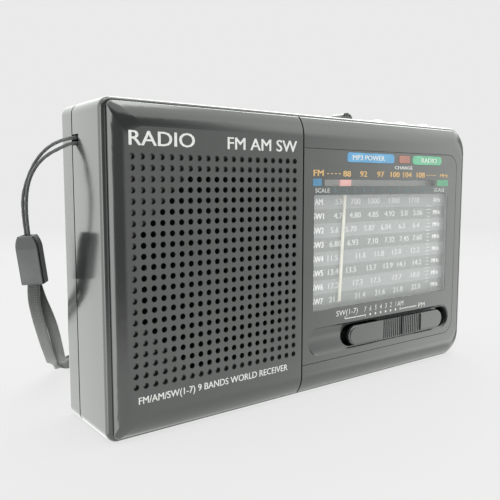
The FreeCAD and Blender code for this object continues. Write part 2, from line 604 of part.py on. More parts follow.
# ---------------------------------------------------------------- band switch
def make_band_switch():
    left, right = cell("knob_left"), cell("knob_right")
    low, top = cell("knob_low"), cell("knob_top")
    base_back, crown = FRONT + 0.22, FRONT - 1.0
    pad_end, rib_end = left + 14.75, left + 33.25
    blank = prism("knob_blank", "XZ", stadium((left, right), (low, top)), crown, base_back)
    blank = round_edges("knob_round", blank, 0.6, lambda p: p.y < crown.value + 1e-4)
    end_radius = (top - low) * 0.5
    step = block("knob_step", (pad_end - end_radius + 0.35, rib_end), (crown - 1.0, crown + 0.42),
                 (low - 1.0, top + 1.0))
    guard = rod("knob_guard", end_radius, 4.0, (pad_end - end_radius, crown - 2.0, low + end_radius), "Y")
    pitch, first = 0.92, pad_end.value + 0.9
    count = int((rib_end.value - first) / pitch)
    grooves = []
    for i in range(count):
        wide = 0.5 if i == count // 2 else 0.22
        x = first + i * pitch
        grooves.append(block(f"knob_groove_{i}", (x - wide, x + wide), (crown - 1.0, crown + 0.85),
                             (low - 1.0, top + 1.0)))
    cap = cut("knob_cap", blank, cut("knob_step_left", step, guard), *grooves)
    stem = block("knob_stem", (23.4, 51.9), (base_back - 0.1, PANEL_BACK + 0.3), (12.4, 17.3))
    flange = block("knob_flange", (20.0, 54.0), (PANEL_BACK + 0.2, PANEL_BACK + 0.9), (10.9, 19.0))
    tongue = block("knob_tongue", (25.0, 33.0), (PANEL_BACK + 0.8, -4.5), (14.4, 16.0))
    keep("band_switch_knob", fuse("band_switch_knob_body", cap, stem, flange, tongue))
    case = block("band_switch_case", (6.0, 46.0), (-6.0, cell("board_front")), (10.9, 19.5))
    track = block("band_switch_track", (7.0, 45.0), (-7.0, -4.0), (14.2, 16.2))
    keep("band_switch", cut("band_switch_body", case, track))


# ---------------------------------------------------------------- inside
def make_board():
    front, back = cell("board_front"), BOARD_BACK
    sheet_block = prism("board_sheet", "XZ", rounded((-8.0, 63.8), (3.0, 75.8), 0.5, 4.5), front, back)
    clear = [rod(f"board_clear_{i}", 3.0, 4.0, (x, front - 1.0, z), "Y")
             for i, (x, z) in enumerate(SCREWS) if x > 0]
    keep("main_board", cut("main_board_body", sheet_block, *clear))
    chips = {"radio_chip": ((-3.0, 9.0), (46.0, 52.0), 1.6), "sound_chip": ((12.0, 20.0), (47.0, 52.0), 1.4),
             "tuned_coil_a": ((52.0, 58.0), (46.0, 52.0), 2.2), "tuned_coil_b": ((44.0, 50.0), (46.0, 52.0), 2.2),
             "big_capacitor": ((26.0, 34.0), (46.5, 51.5), 2.4), "crystal": ((-6.0, -3.5), (20.0, 28.0), 2.2)}
    keep("board_chips", fuse("board_chips_body", *[
        block(name, x, (back, back + tall), z) for name, (x, z, tall) in chips.items()]))
    keep("ferrite_rod", rod("ferrite_rod_bar", 3.5, 60.0, (-12.0, 7.2, 58.0), "X"))
    coil = cut("ferrite_coil_body", rod("coil_outside", 4.3, 18.0, (28.0, 7.2, 58.0), "X"),
               rod("coil_inside", 3.55, 20.0, (27.0, 7.2, 58.0), "X"))
    keep("ferrite_coil", coil)


def make_speaker():
    at = (cell("grille_x"), -12.0, cell("grille_z"))
    rim = cell("speaker_rim")
    basket = [(rim - 3.0, 0.0), (rim, 0.0), (rim, 1.0), (rim - 2.0, 1.0), (11.0, 8.0), (11.0, 9.0),
              (4.0, 9.0), (4.0, 8.2), (10.0, 8.2), (10.0, 7.6), (rim - 3.0, 0.9)]
    keep("speaker_frame", turned("speaker_frame_body", basket, at))
    cone = [(0.0, 3.6), (5.0, 4.6), (17.8, 0.3), (18.8, 0.3), (18.8, 0.7), (17.9, 0.7), (5.0, 5.1),
            (3.5, 5.1), (3.5, 8.8), (3.0, 8.8), (3.0, 4.8), (0.0, 4.1)]
    keep("speaker_cone", turned("speaker_cone_body", cone, at))
    magnet = [(0.0, 9.0), (9.5, 9.0), (10.0, 9.5), (10.0, 15.5), (9.5, 16.0), (0.0, 16.0)]
    keep("speaker_magnet", turned("speaker_magnet_body", magnet, at))


def make_sockets():
    barrel = rod("jack_barrel", 2.7, 13.0, (RIGHT - 13.4, -4.0, 38.0), "X")
    housing = block("jack_housing", (RIGHT - 14.4, RIGHT - 2.2), (-7.2, cell("board_front")), (35.3, 40.7))
    bore = rod("jack_bore", 1.8, 13.0, (RIGHT - 12.4, -4.0, 38.0), "X")
    keep("earphone_jack", cut("earphone_jack_body", fuse("jack_solid", barrel, housing), bore))
    shell = block("charge_shell", (RIGHT - 4.2, RIGHT - 0.3), (-5.3, -2.7), (62.9, 70.1))
    tray = block("charge_tray", (RIGHT - 4.2, RIGHT - 2.2), (-2.8, cell("board_front")), (63.6, 69.4))
    mouth = block("charge_mouth", (RIGHT - 3.6, RIGHT), (-4.9, -3.1), (63.3, 69.7))
    tongue = block("charge_tongue", (RIGHT - 3.8, RIGHT - 1.0), (-4.25, -3.75), (64.2, 68.8))
    keep("charge_socket", fuse("charge_socket_body", cut("charge_open", fuse("charge_solid", shell, tray),
                                                        mouth), tongue))


# ---------------------------------------------------------------- top keys
def make_top_keys():
    y, x, proud = cell("key_y"), cell("mode_x"), TOP + 2.4
    cap = prism("mode_cap", "XZ", [(x - 2.3, TOP + 0.15), (x + 2.3, TOP + 0.15), (x + 2.3, TOP + 1.1),
                                   (x, proud, 2.6), (x - 2.3, TOP + 1.1, 2.6)], y - 2.2, y + 2.2)
    grooves = [block(f"mode_groove_{i}", (x + i * 1.1 - 0.2, x + i * 1.1 + 0.2), (y - 3.0, y + 3.0),
                     (TOP + 1.35, TOP + 4.0)) for i in (-1, 0, 1)]
    stem = block("mode_stem", (x - 1.4, x + 1.4), (y - 0.9, y + 0.9), (TOP - 4.6, TOP + 0.3))
    keep("mode_switch_knob", fuse("mode_switch_knob_body", cut("mode_cap_grooved", cap, *grooves), stem))
    body = block("mode_switch_case", (x - 6.5, x + 6.5), (-6.9, cell("board_front")), (TOP - 8.6, TOP - 2.6))
    track = block("mode_switch_track", (x - 4.8, x + 4.8), (y - 1.1, y + 1.1), (TOP - 4.9, TOP - 2.0))
    keep("mode_switch", cut("mode_switch_body", body, track))
    r = cell("key_rod")
    for number, key_x in enumerate(KEYS, start=1):
        dome = [(0.0, -2.4), (r + 0.6, -2.4), (r + 0.6, -1.95), (r, -1.95), (r, 0.55),
                (0.0, 1.55, dome_radius(r, sized(1.0)))]
        keep(f"button_{number}", turned(f"button_{number}_body", dome, (key_x, y, TOP), "Z"))
    seats = [block(f"key_seat_{i}", (x - 3.0, x + 3.0), (y - 2.4, cell("board_front")),
                   (TOP - 7.4, TOP - 3.6)) for i, x in enumerate(KEYS)]
    keep("key_switches", fuse("key_switches_body", *seats))


# ---------------------------------------------------------------- rear
def make_rear():
    wall = cell("wall")
    block_shape = prism("cover_block", "XZ", case_outline(), SEAM, BACK)
    soft = round_edges("cover_soft", block_shape, DIMENSIONS["rear_edge"], lambda p: p.y > BACK.value - 1e-4)
    edge = round_edges("cover_edge", soft, DIMENSIONS["seam_edge"], lambda p: p.y < SEAM.value + 1e-4)
    groove = prism("cover_groove", "XZ", case_outline(), SEAM - 0.1, SEAM + cell("seam_gap"))
    deep = cell("seam_groove")
    core = prism("cover_groove_core", "XZ", rounded((LEFT + deep, RIGHT - deep), (deep, TOP - deep),
                 cell("corner") - deep, cell("far_corner") - deep), SEAM - 0.2, SEAM + cell("seam_gap") + 0.1)
    outer = cut("cover_outer", edge, cut("cover_groove_ring", groove, core))
    cavity = prism("cover_cavity", "XZ", rounded((LEFT + wall, RIGHT - wall), (wall, TOP - wall), 2.0,
                   cell("far_corner") - 1.5), SEAM - 1.0, BACK - wall)
    x, y, z = cell("aerial_x"), cell("aerial_y"), cell("aerial_z")
    floor, front = cell("channel_floor"), cell("channel_front")
    liner = block("cover_channel_liner", (x - 5.7, RIGHT), (front - 1.6, BACK + 1.0),
                  (floor - 1.6, TOP + 1.0))
    pedestal = block("cover_aerial_boss", (x - 4.0, x + 4.0), (front - 0.4, BACK + 1.0), (floor - 6.5, floor))
    tubes = [rod(f"cover_screw_tube_{i}", 3.3, BACK - SEAM, (sx, SEAM, sz), "Y")
             for i, (sx, sz) in enumerate(SCREWS)]
    inside = common("cover_inside", outer, fuse("cover_fittings", liner, pedestal, *tubes))
    solid = fuse("cover_solid", cut("cover_tub", outer, cavity), inside)
    tools = [
        block("cover_channel", (x, RIGHT + 1.0), (front, BACK + 1.0), (floor, TOP + 1.0)),
        rod("cover_well", 4.1, 10.0, (x, y, floor), "Z"),
        block("cover_well_rear", (x - 4.1, x + 4.1), (y, BACK + 1.0), (floor, TOP + 1.0)),
        rod("cover_pivot_bore", 2.46, 6.0, (x, y, floor - 5.2), "Z")]
    left, low, high = cell("door_left"), cell("door_low"), cell("door_top")
    gap, plate = cell("door_gap"), cell("door_plate")
    tools += [
        block("cover_door_seat", (left - gap, RIGHT + 1.0), (BACK - plate - 0.05, BACK + 1.0),
              (low - gap, high + gap)),
        block("cover_cell_opening", (0.5, 55.5), (SEAM, BACK + 1.0), (low + 1.0, high - 1.0))]
    for i, (sx, sz) in enumerate(SCREWS):
        tools += [rod(f"cover_screw_bore_{i}", 1.35, 10.0, (sx, SEAM - 1.0, sz), "Y"),
                  rod(f"cover_screw_sink_{i}", 2.6, 8.0, (sx, 9.0, sz), "Y")]
    keep("rear_cover", cut("rear_cover_body", solid, *tools))
    leaf = common("door_leaf", outer, block("door_block", (left, RIGHT + 1.0), (BACK - plate, BACK + 1.0),
                                            (low, high)))
    grips = [block(f"door_grip_{i}", (left + 4.0 + i * 2.0, left + 5.0 + i * 2.0),
                   (BACK - 0.5, BACK + 1.0), (low + 10.0, high - 10.0)) for i in range(4)]
    keep("battery_door", cut("battery_door_body", leaf, *grips))
    cell_block = block("battery_block", (1.5, 54.5), (6.4, 12.0), (low + 1.5, high - 1.5))
    keep("battery_pack", round_edges("battery_round", cell_block, 1.2,
                                     lambda p: abs(p.x - 1.5) < 1e-4 or abs(p.x - 54.5) < 1e-4))
    tabs = [block(f"contact_{i}", (-0.6, 1.3), (7.4, 10.8), (16.0 + i * 8.0, 18.5 + i * 8.0))
            for i in range(3)]
    keep("battery_contacts", fuse("battery_contacts_body", *tabs))
    screws = []
    for i, (sx, sz) in enumerate(SCREWS):
        head = rod(f"screw_head_{i}", 2.4, 1.6, (sx, 9.0, sz), "Y")
        shank = rod(f"screw_shank_{i}", 1.2, 13.0, (sx, -4.0, sz), "Y")
        cross = [block(f"screw_slot_{i}_a", (sx - 1.4, sx + 1.4), (9.8, 12.0), (sz - 0.28, sz + 0.28)),
                 block(f"screw_slot_{i}_b", (sx - 0.28, sx + 0.28), (9.8, 12.0), (sz - 1.4, sz + 1.4))]
        screws.append(cut(f"screw_{i}", fuse(f"screw_blank_{i}", head, shank), *cross))
    group = doc.addObject("Part::Compound", "case_screws_group")
    group.Links = screws
    keep("case_screws", group)


# ---------------------------------------------------------------- aerial
def make_aerial():
    x, y, z = cell("aerial_x"), cell("aerial_y"), cell("aerial_z")
    floor = cell("channel_floor")
    shank = rod("swivel_shank", 2.4, 6.0, (x, y, floor - 5.0), "Z")
    collar = rod("swivel_collar", 3.6, 0.9, (x, y, floor + 0.2), "Z")
    ears = []
    for side, start in (("front", y - 2.7), ("rear", y + 1.3)):
        ears += [rod(f"swivel_ear_{side}_round", 2.5, 1.4, (x, start, z), "Y"),
                 block(f"swivel_ear_{side}_post", (x - 2.5, x + 2.5), (start, start + 1.4), (floor + 0.8, z))]
    pin = rod("swivel_pin", 0.9, 5.4, (x, y - 2.7, z), "Y")
    keep("antenna_swivel", fuse("antenna_swivel_body", shank, collar, *ears, pin))
    start, long = 3.8, 96.0
    outer, wall, fit = cell("aerial_rod"), cell("tube_wall"), cell("tube_fit")
    tube = [(0.0, 0.0), (outer, 0.0), (outer, long), (outer - wall, long), (outer - wall, 2.6), (0.0, 2.6)]
    first = turned("antenna_tube_blank", tube, (x + start, y, z), "X")
    tongue = fuse("antenna_tongue", rod("antenna_eye", 2.3, 2.2, (x, y - 1.1, z), "Y"),
                  block("antenna_neck", (x, x + start + 0.5), (y - 1.1, y + 1.1), (z - 1.7, z + 1.7)))
    eyed = cut("antenna_eyed", tongue, rod("antenna_eye_bore", 0.96, 6.0, (x, y - 3.0, z), "Y"))
    keep("antenna_tube_1", fuse("antenna_tube_1_body", first, eyed))
    radius = outer
    for number in (2, 3, 4, 5):
        radius = radius - wall - fit
        begin, end = 2.8 + (number - 2) * 0.6, long + (number - 1) * 0.5
        if number < 5:
            ring = [(radius - wall, begin), (radius, begin), (radius, end), (radius - wall, end)]
        else:
            ring = [(0.0, begin), (radius, begin), (radius, end), (2.2, end), (2.6, end + 0.5),
                    (2.6, end + 3.0), (0.0, end + 4.0, dome_radius(sized(2.6), sized(1.0)))]
        keep(f"antenna_tube_{number}", turned(f"antenna_tube_{number}_body", ring, (x + start, y, z), "X"))


# ---------------------------------------------------------------- wrist strap
STRING_ROUTE = [
    (-73.95, 15.5, 44.4), (-74.2, 15.2, 49.0), (-74.2, 15.2, 54.6), (-73.9, 14.2, 60.0), (-73.0, 12.6, 63.6),
    (-71.2, 10.2, 66.2), (-68.9, 7.0, 67.9), (-67.2, 4.2, 69.0), (-65.2, 3.2, 69.1), (-61.6, 3.2, 68.4),
    (-61.6, 3.2, 71.2), (-65.2, 3.2, 70.5), (-67.3, 4.1, 70.2), (-68.9, 7.0, 69.6), (-70.6, 10.0, 68.3),
    (-72.5, 12.6, 65.8), (-73.9, 14.9, 62.0), (-75.2, 16.0, 57.0), (-74.9, 16.3, 51.5), (-74.6, 16.4, 47.6),
    (-74.45, 16.4, 44.4)]
WEBBING_ROUTE = [
    (-73.09, 17.04, 37.1), (-72.7, 17.42, 31.8), (-70.84, 21.3, 25.4), (-67.62, 26.94, 19.6),
    (-64.1, 33.6, 13.6), (-60.9, 40.1, 8.0), (-57.8, 46.3, 4.0), (-54.6, 52.6, 1.9), (-48.4, 57.8, 1.7),
    (-39.5, 60.0, 1.7), (-29.0, 59.8, 1.7), (-18.0, 57.8, 1.7), (-7.0, 54.6, 1.7), (3.2, 50.2, 1.7),
    (11.2, 43.6, 1.7), (12.6, 34.4, 1.7), (5.6, 28.4, 1.7), (-4.0, 29.4, 1.7), (-13.0, 34.6, 1.7),
    (-21.0, 42.0, 1.7), (-28.8, 49.2, 1.7), (-37.6, 53.8, 1.7), (-46.2, 54.4, 1.7), (-52.4, 50.6, 1.9),
    (-56.0, 44.9, 4.0), (-59.3, 38.9, 8.0), (-62.5, 32.4, 13.6), (-66.38, 25.66, 19.6),
    (-69.96, 19.9, 25.4), (-72.4, 15.98, 31.8), (-73.23, 15.56, 37.1)]


def cord_tube(name, route, radius):
    """A round cord: straight runs joined by arcs as large as their runs allow."""
    points = [Vector(*p) for p in route]
    edges, at, radii = [], points[0], []
    for before, corner, after in zip(points, points[1:], points[2:]):
        back, ahead = before - corner, after - corner
        reach = 0.45 * min(back.Length, ahead.Length)
        half_turn = (math.pi - back.getAngle(ahead)) / 2
        radii.append(reach / math.tan(half_turn))
        start = corner + back.normalize() * reach
        end = corner + ahead.normalize() * reach
        bisector = (back + ahead).normalize()
        centre_distance = radii[-1] / math.cos(half_turn)
        middle = corner + bisector * (centre_distance - radii[-1])
        edges += [Part.LineSegment(at, start).toShape(), Part.Arc(start, middle, end).toShape()]
        at = end
    edges.append(Part.LineSegment(at, points[-1]).toShape())
    wire = Part.Wire(edges)
    section = Part.Wire([Part.Circle(points[0], points[1] - points[0], radius).toShape()])
    item = doc.addObject("Part::Feature", name)
    item.Shape = Part.makeSolid(wire.makePipeShell([section], True, False))
    share = item.Shape.Volume / (math.pi * radius ** 2 * wire.Length)
    print(f"{name}: {wire.Length:.1f} mm long, volume over section times length {share:.3f}, "
          f"lowest {item.Shape.BoundBox.ZMin:.2f}, radii {[round(r, 1) for r in radii]}")
    return item


def make_strap():
    """A loop of thin string through the case, a moulded sleeve, and a loop of narrow webbing."""
    keep("wrist_string", cord_tube("wrist_string_tube", STRING_ROUTE, DIMENSIONS["string_rod"]))
    keep("strap_webbing", cord_tube("strap_webbing_tube", WEBBING_ROUTE, DIMENSIONS["webbing_rod"]))
    blank = prism("sleeve_blank", "XZ", [
        (2.6, -6.2), (3.0, -5.8, 0.4), (3.0, 2.8), (2.0, 6.2, 6.0), (-2.0, 6.2),
        (-3.0, 2.8, 6.0), (-3.0, -5.8), (-2.6, -6.2, 0.4)], -1.6, 1.6)
    soft = round_edges("sleeve_soft", blank, 0.5, lambda p: abs(abs(p.y) - 1.6) < 1e-4)
    mouth = block("sleeve_mouth", (-1.45, 1.45), (-0.85, 0.85), (3.4, 7.0))
    throat = block("sleeve_throat", (-2.2, 2.2), (-1.36, 1.36), (-7.0, -3.2))
    sleeve = cut("strap_sleeve_body", soft, mouth, throat)
    axis, across = Vector(-1.7, -0.4, 12.3), Vector(0.73, -0.68, 0.08)
    sleeve.Placement = Placement(Vector(-73.65, 16.2, 40.65), Rotation(across, Vector(), axis, "ZXY"))
    keep("strap_sleeve", sleeve)


# ---------------------------------------------------------------- build, check and write
for make in (make_front_shell, make_speaker_grille, make_dial_panel, make_scale, make_pointer, make_drive,
             make_band_switch, make_board, make_speaker, make_sockets, make_top_keys, make_rear, make_aerial,
             make_strap):
    make()
doc.recompute()

faults = [item.Name for item in doc.Objects if {"Invalid", "Error"} & set(item.State)]
for item in sub_parts:
    if item.Shape.isNull() or not item.Shape.isValid() or not item.Shape.Solids:
        faults.append(f"shape of {item.Label}")
if faults:
    raise SystemExit("not built: " + ", ".join(faults))

os.makedirs("parts", exist_ok=True)
for item in sub_parts:
    item.Shape.exportStep(f"parts/{item.Label}.step")
    size = item.Shape.BoundBox
    print(f"{item.Label:18} solids {len(item.Shape.Solids):2}  volume {item.Shape.Volume:9.1f}  "
          f"x {size.XMin:7.2f} {size.XMax:7.2f}  y {size.YMin:7.2f} {size.YMax:7.2f}  "
          f"z {size.ZMin:7.2f} {size.ZMax:7.2f}")
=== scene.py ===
"""Looks of the pocket shortwave receiver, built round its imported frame.

Metres; +Z is up and the front faces -Y. Places of print and routes are in millimetres.
"""
import json
import math
from collections import namedtuple

import bpy
import numpy as np
from mathutils import Matrix, Vector


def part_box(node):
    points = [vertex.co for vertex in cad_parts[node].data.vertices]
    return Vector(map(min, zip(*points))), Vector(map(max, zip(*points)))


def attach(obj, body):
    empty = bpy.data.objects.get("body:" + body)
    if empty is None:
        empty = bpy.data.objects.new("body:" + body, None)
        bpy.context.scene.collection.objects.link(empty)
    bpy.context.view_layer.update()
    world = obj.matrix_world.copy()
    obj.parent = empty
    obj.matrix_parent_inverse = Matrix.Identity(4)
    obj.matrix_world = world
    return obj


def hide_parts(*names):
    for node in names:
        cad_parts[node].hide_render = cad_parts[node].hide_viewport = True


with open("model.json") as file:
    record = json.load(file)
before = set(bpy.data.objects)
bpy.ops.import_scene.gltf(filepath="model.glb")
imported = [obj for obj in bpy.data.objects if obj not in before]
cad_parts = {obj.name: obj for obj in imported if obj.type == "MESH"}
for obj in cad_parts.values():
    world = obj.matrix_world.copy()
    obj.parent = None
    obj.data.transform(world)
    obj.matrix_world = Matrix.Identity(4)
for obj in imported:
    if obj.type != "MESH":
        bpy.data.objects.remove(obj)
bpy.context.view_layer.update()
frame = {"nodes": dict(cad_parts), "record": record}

MM = 0.001
NODES = frame["nodes"]
SCENE = bpy.context.scene

# Faces that carry print, from the frame
GRILLE_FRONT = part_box("speaker_grille")[0].y
PANEL_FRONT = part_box("dial_panel")[0].y
SCALE_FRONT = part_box("dial_plate")[0].y
INK = 0.02 * MM

# Openings of the dial panel
Area = namedtuple("Area", "left right low top")
WINDOW = Area(-5.58, 55.02, 23.8, 56.5)
STRIP = Area(-1.68, 47.57, 58.97, 60.8)

# The strap: the direction across its sleeve's sides, the webbing's ribs, and how far along it turns back
SLEEVE_ACROSS = Vector((0.73, -0.68, 0.08)).normalized()
WEBBING_RIBS = 6
WEBBING_TURN = 135 * MM

VIEWPOINT = Vector((-0.12093, -0.13757, 0.05877))
VIEW_RIGHT = Vector((0.7990, -0.6014, 0.0)).normalized()
VIEW_AHEAD = Vector((0.5982, 0.7947, -0.1032)).normalized()
LENS, FILM_WIDTH = 43.87, 36.0


# ---------------------------------------------------------------- camera
def make_camera():
    """The viewpoint: to the front left, a little under the case's top edge."""
    data = bpy.data.cameras.new("camera")
    data.sensor_width, data.lens = FILM_WIDTH, LENS
    data.clip_start, data.clip_end = 0.005, 50.0
    camera = bpy.data.objects.new("camera", data)
    SCENE.collection.objects.link(camera)
    up = VIEW_RIGHT.cross(VIEW_AHEAD).normalized()
    turn = Matrix((VIEW_RIGHT, up, -VIEW_AHEAD)).transposed()
    camera.matrix_world = Matrix.Translation(VIEWPOINT) @ turn.to_4x4()
    SCENE.camera = camera


# ---------------------------------------------------------------- node materials
class Nodes:
    """Short ways to build a node tree."""

    def __init__(self, tree):
        self.tree = tree

    def put(self, socket, value):
        if isinstance(value, bpy.types.NodeSocket):
            self.tree.links.new(value, socket)
        elif isinstance(value, tuple) and len(value) == 3 and len(socket.default_value) == 4:
            socket.default_value = (*value, 1.0)
        else:
            socket.default_value = value

    def add(self, kind, settings=None, **inputs):
        node = self.tree.nodes.new(kind)
        for key, value in (settings or {}).items():
            setattr(node, key, value)
        for key, value in inputs.items():
            self.put(node.inputs[key.replace("_", " ")], value)
        return node

    def math(self, operation, a, b=0.0, c=0.0):
        node = self.add("ShaderNodeMath", {"operation": operation})
        for socket, value in zip(node.inputs, (a, b, c)):
            self.put(socket, value)
        return node.outputs[0]

    def between(self, value, low, high, soft):
        """1 between two limits and 0 outside them, with soft edges."""
        masks = []
        for edge, start, end in ((low, 0.0, 1.0), (high, 1.0, 0.0)):
            node = self.add("ShaderNodeMapRange", {"interpolation_type": "SMOOTHSTEP"}, Value=value)
            for name, number in (("From Min", edge - soft), ("From Max", edge + soft), ("To Min", start),
                                 ("To Max", end)):
                node.inputs[name].default_value = number
            masks.append(node.outputs["Result"])
        return self.math("MULTIPLY", *masks)

    def noise(self, grain, detail=3.0, place=None, rough=0.5):
        """Noise whose blobs are about grain metres across."""
        node = self.add("ShaderNodeTexNoise", Vector=place or self.place, Scale=0.5 / grain, Detail=detail,
                        Roughness=rough)
        return node.outputs["Fac"]

    def spread(self, fac, low, high, start=0.3, end=0.7):
        """Carries fac from start..end to low..high, and holds it there."""
        node = self.add("ShaderNodeMapRange", {"clamp": True}, Value=fac)
        for name, value in (("From Min", start), ("From Max", end), ("To Min", low), ("To Max", high)):
            self.put(node.inputs[name], value)
        return node.outputs["Result"]

    def mix(self, fac, a, b):
        node = self.add("ShaderNodeMix", {"data_type": "RGBA"})
        self.put(node.inputs[0], fac)
        self.put(node.inputs[6], a)
        self.put(node.inputs[7], b)
        return node.outputs[2]

    def times(self, color, factor):
        """A colour scaled by a changing factor."""
        node = self.add("ShaderNodeMix", {"data_type": "RGBA", "blend_type": "MULTIPLY"})
        self.put(node.inputs[0], 1.0)
        self.put(node.inputs[6], color)
        self.put(node.inputs[7], factor)
        return node.outputs[2]

    def bump(self, height, depth, under=None):
        inputs = {"Height": height, "Distance": depth, "Strength": 1.0}
        if under is not None:
            inputs["Normal"] = under
        return self.add("ShaderNodeBump", **inputs).outputs["Normal"]

    def axis(self, name, place=None):
        return self.add("ShaderNodeSeparateXYZ", Vector=place or self.place).outputs[name]


class Surface(Nodes):
    """One node material around a Principled shader."""

    def __init__(self, name, **sockets):
        self.material = bpy.data.materials.new(name)
        self.material.use_nodes = True
        super().__init__(self.material.node_tree)
        self.shader = self.tree.nodes["Principled BSDF"]
        self.place = self.add("ShaderNodeTexCoord").outputs["Object"]
        for key, value in sockets.items():
            self.set(key.replace("_", " "), value)

    def set(self, name, value):
        self.put(self.shader.inputs[name], value)

    def paint_over(self, mask, color):
        """Lays a colour over the base colour where the mask is 1."""
        under = self.shader.inputs["Base Color"].links[0].from_socket
        self.set("Base Color", self.mix(mask, under, color))


def shade(color, factor):
    return tuple(min(1.0, c * factor) for c in color)


def moulded_surface(name, color, rough, texture=0.0, wave=0.0, wear=0.25, specular=0.5):
    """Moulded plastic: sink waves under the gloss, a spark-eroded texture, rubbed edges and a little dust."""
    s = Surface(name, Specular_IOR_Level=specular)
    cloud = s.noise(18 * MM, 4.0)
    base = s.mix(s.spread(cloud, 0.0, 1.0), shade(color, 0.92), shade(color, 1.1))
    edge = s.spread(s.add("ShaderNodeNewGeometry").outputs["Pointiness"], 0.0, wear, 0.52, 0.6)
    patchy = s.math("MULTIPLY", edge, s.spread(s.noise(3 * MM), 0.2, 1.0))
    s.set("Base Color", s.mix(patchy, base, shade(color, 3.2)))
    dust = s.spread(s.noise(0.6 * MM, 6.0), 0.0, 0.05, 0.55, 0.8)
    s.set("Roughness", s.math("ADD", s.spread(s.noise(9 * MM), rough * 0.88, rough * 1.14), dust))
    normal = s.bump(s.noise(14 * MM, 1.0), wave) if wave else None
    if texture:
        normal = s.bump(s.noise(0.35 * MM, 5.0, rough=0.7), texture, under=normal)
    if normal is not None:
        s.set("Normal", normal)
    return s


def moulded(name, color, rough, **options):
    return moulded_surface(name, color, rough, **options).material


def panel_surface():
    """The dial panel: gloss black, and pale inside its windows, where the lens meets it; that pale is painted
    light that fills the shade on the window walls.
    """
    s = moulded_surface("panel_black", (0.014, 0.0145, 0.015), 0.18, wave=0.008 * MM, specular=1.0)
    slack, soft = 0.05, 0.02 * MM
    across = s.between(s.axis("X"), (WINDOW.left - slack) * MM, (WINDOW.right + slack) * MM, soft)
    inside = s.math("MULTIPLY", across, s.between(s.axis("Z"), WINDOW.low * MM, STRIP.top * MM, soft))
    behind = s.spread(s.axis("Y"), 0.0, 1.0, PANEL_FRONT + 0.05 * MM, PANEL_FRONT + 0.12 * MM)
    # painted light: the walls inside the windows are painted pale where they lie in shade
    s.paint_over(s.math("MULTIPLY", inside, behind), (0.28, 0.29, 0.29))
    return s.material


def metal(name, color, rough, brushed=0.0, along="X"):
    """Metal with fine drawn lines along an axis and finger haze."""
    s = Surface(name, Metallic=1.0)
    stretch = {"X": (60.0, 2500.0, 2500.0), "Y": (2500.0, 60.0, 2500.0), "Z": (2500.0, 2500.0, 60.0)}[along]
    lines = s.add("ShaderNodeMapping", Vector=s.place, Scale=stretch).outputs["Vector"]
    grain = s.add("ShaderNodeTexNoise", Vector=lines, Scale=1.0, Detail=3.0).outputs["Fac"]
    haze = s.noise(7 * MM, 4.0)
    s.set("Base Color", s.mix(s.spread(haze, 0.0, 1.0), shade(color, 0.93), color))
    s.set("Roughness", s.math("MULTIPLY_ADD", grain, 0.06, s.spread(haze, rough * 0.8, rough * 1.3)))
    s.set("Normal", s.bump(grain, brushed))
    return s.material


def make_materials():
    """One material for each of the record's slots."""
    return {
        "case_black": moulded("case_black", (0.013, 0.0135, 0.014), 0.12, wave=0.010 * MM, specular=1.0),
        "panel_black": panel_surface(),
        "cover_black": moulded("cover_black", (0.014, 0.0145, 0.015), 0.22, texture=0.004 * MM, specular=1.0),
        "knob_black": moulded("knob_black", (0.014, 0.0145, 0.015), 0.24, wave=0.01 * MM, specular=1.0),
        "part_black": moulded("part_black", (0.025, 0.025, 0.027), 0.45, texture=0.02 * MM),
        "sleeve": sleeve_surface(),
        "drum_white": moulded("drum_white", (0.70, 0.70, 0.66), 0.45, wave=0.02 * MM, wear=0.05),
        "battery": moulded("battery", (0.05, 0.12, 0.42), 0.35, wave=0.05 * MM, wear=0.1),
        "lamp_blue": lamp("lamp_blue", (0.075, 0.235, 0.40)),
        "lamp_red": lamp("lamp_red", (0.27, 0.115, 0.090)),
        "lamp_green": lamp("lamp_green", (0.105, 0.340, 0.205)),
        "steel": metal("steel", (0.62, 0.63, 0.65), 0.28, 0.003 * MM),
        "speaker_steel": metal("speaker_steel", (0.42, 0.43, 0.45), 0.38, 0.004 * MM, "Z"),
        "magnet": metal("magnet", (0.30, 0.30, 0.32), 0.35, 0.004 * MM, "Y"),
        "chrome": metal("chrome", (0.38, 0.385, 0.39), 0.14, 0.001 * MM),
        "contact": metal("contact", (0.83, 0.66, 0.32), 0.3, 0.003 * MM, "Z"),
        "lens": clear_lens(),
        "scale_print": scale_surface(),
        "pointer_white": pointer_surface(),
        "board_green": board_surface(),
        "cone_paper": paper_surface(),
        "ferrite": ferrite_surface(),
        "copper_coil": wound_surface(),
        "cord_nylon": twisted("cord_nylon", (0.55, 0.50, 0.38), 0.5 * MM),
        "string": braided("string", (0.040, 0.040, 0.043)),
        "webbing": ribbed("webbing"),
    }


def sleeve_surface():
    """The strap's sleeve: satin, with its narrow sides painted darker than its broad faces as painted shade.
    """
    s = moulded_surface("sleeve", (0.085, 0.085, 0.088), 0.42, texture=0.012 * MM)
    normal = s.add("ShaderNodeTexCoord").outputs["Normal"]
    facing = s.add("ShaderNodeVectorMath", {"operation": "DOT_PRODUCT"}, Vector=normal)
    facing.inputs[1].default_value = SLEEVE_ACROSS
    side = s.spread(s.math("ABSOLUTE", facing.outputs["Value"]), 0.0, 1.0, 0.35, 0.75)
    # painted shade: the narrow sides facing across the sleeve are darkened
    s.paint_over(side, (0.012, 0.012, 0.013))
    s.set("IOR", 1.2)
    return s.material


def lamp(name, color):
    """A cloudy tinted moulding that scatters light under its skin and glows a little."""
    s = Surface(name, Roughness=0.22, Subsurface_Weight=0.25, Subsurface_Scale=0.6 * MM,
                Specular_IOR_Level=0.5, Emission_Color=color, Emission_Strength=0.25)
    cloud = s.spread(s.noise(2.5 * MM, 2.0), 0.0, 1.0)
    s.set("Base Color", s.mix(cloud, shade(color, 0.85), shade(color, 1.2)))
    s.set("Normal", s.bump(s.noise(1.2 * MM), 0.01 * MM))
    return s.material


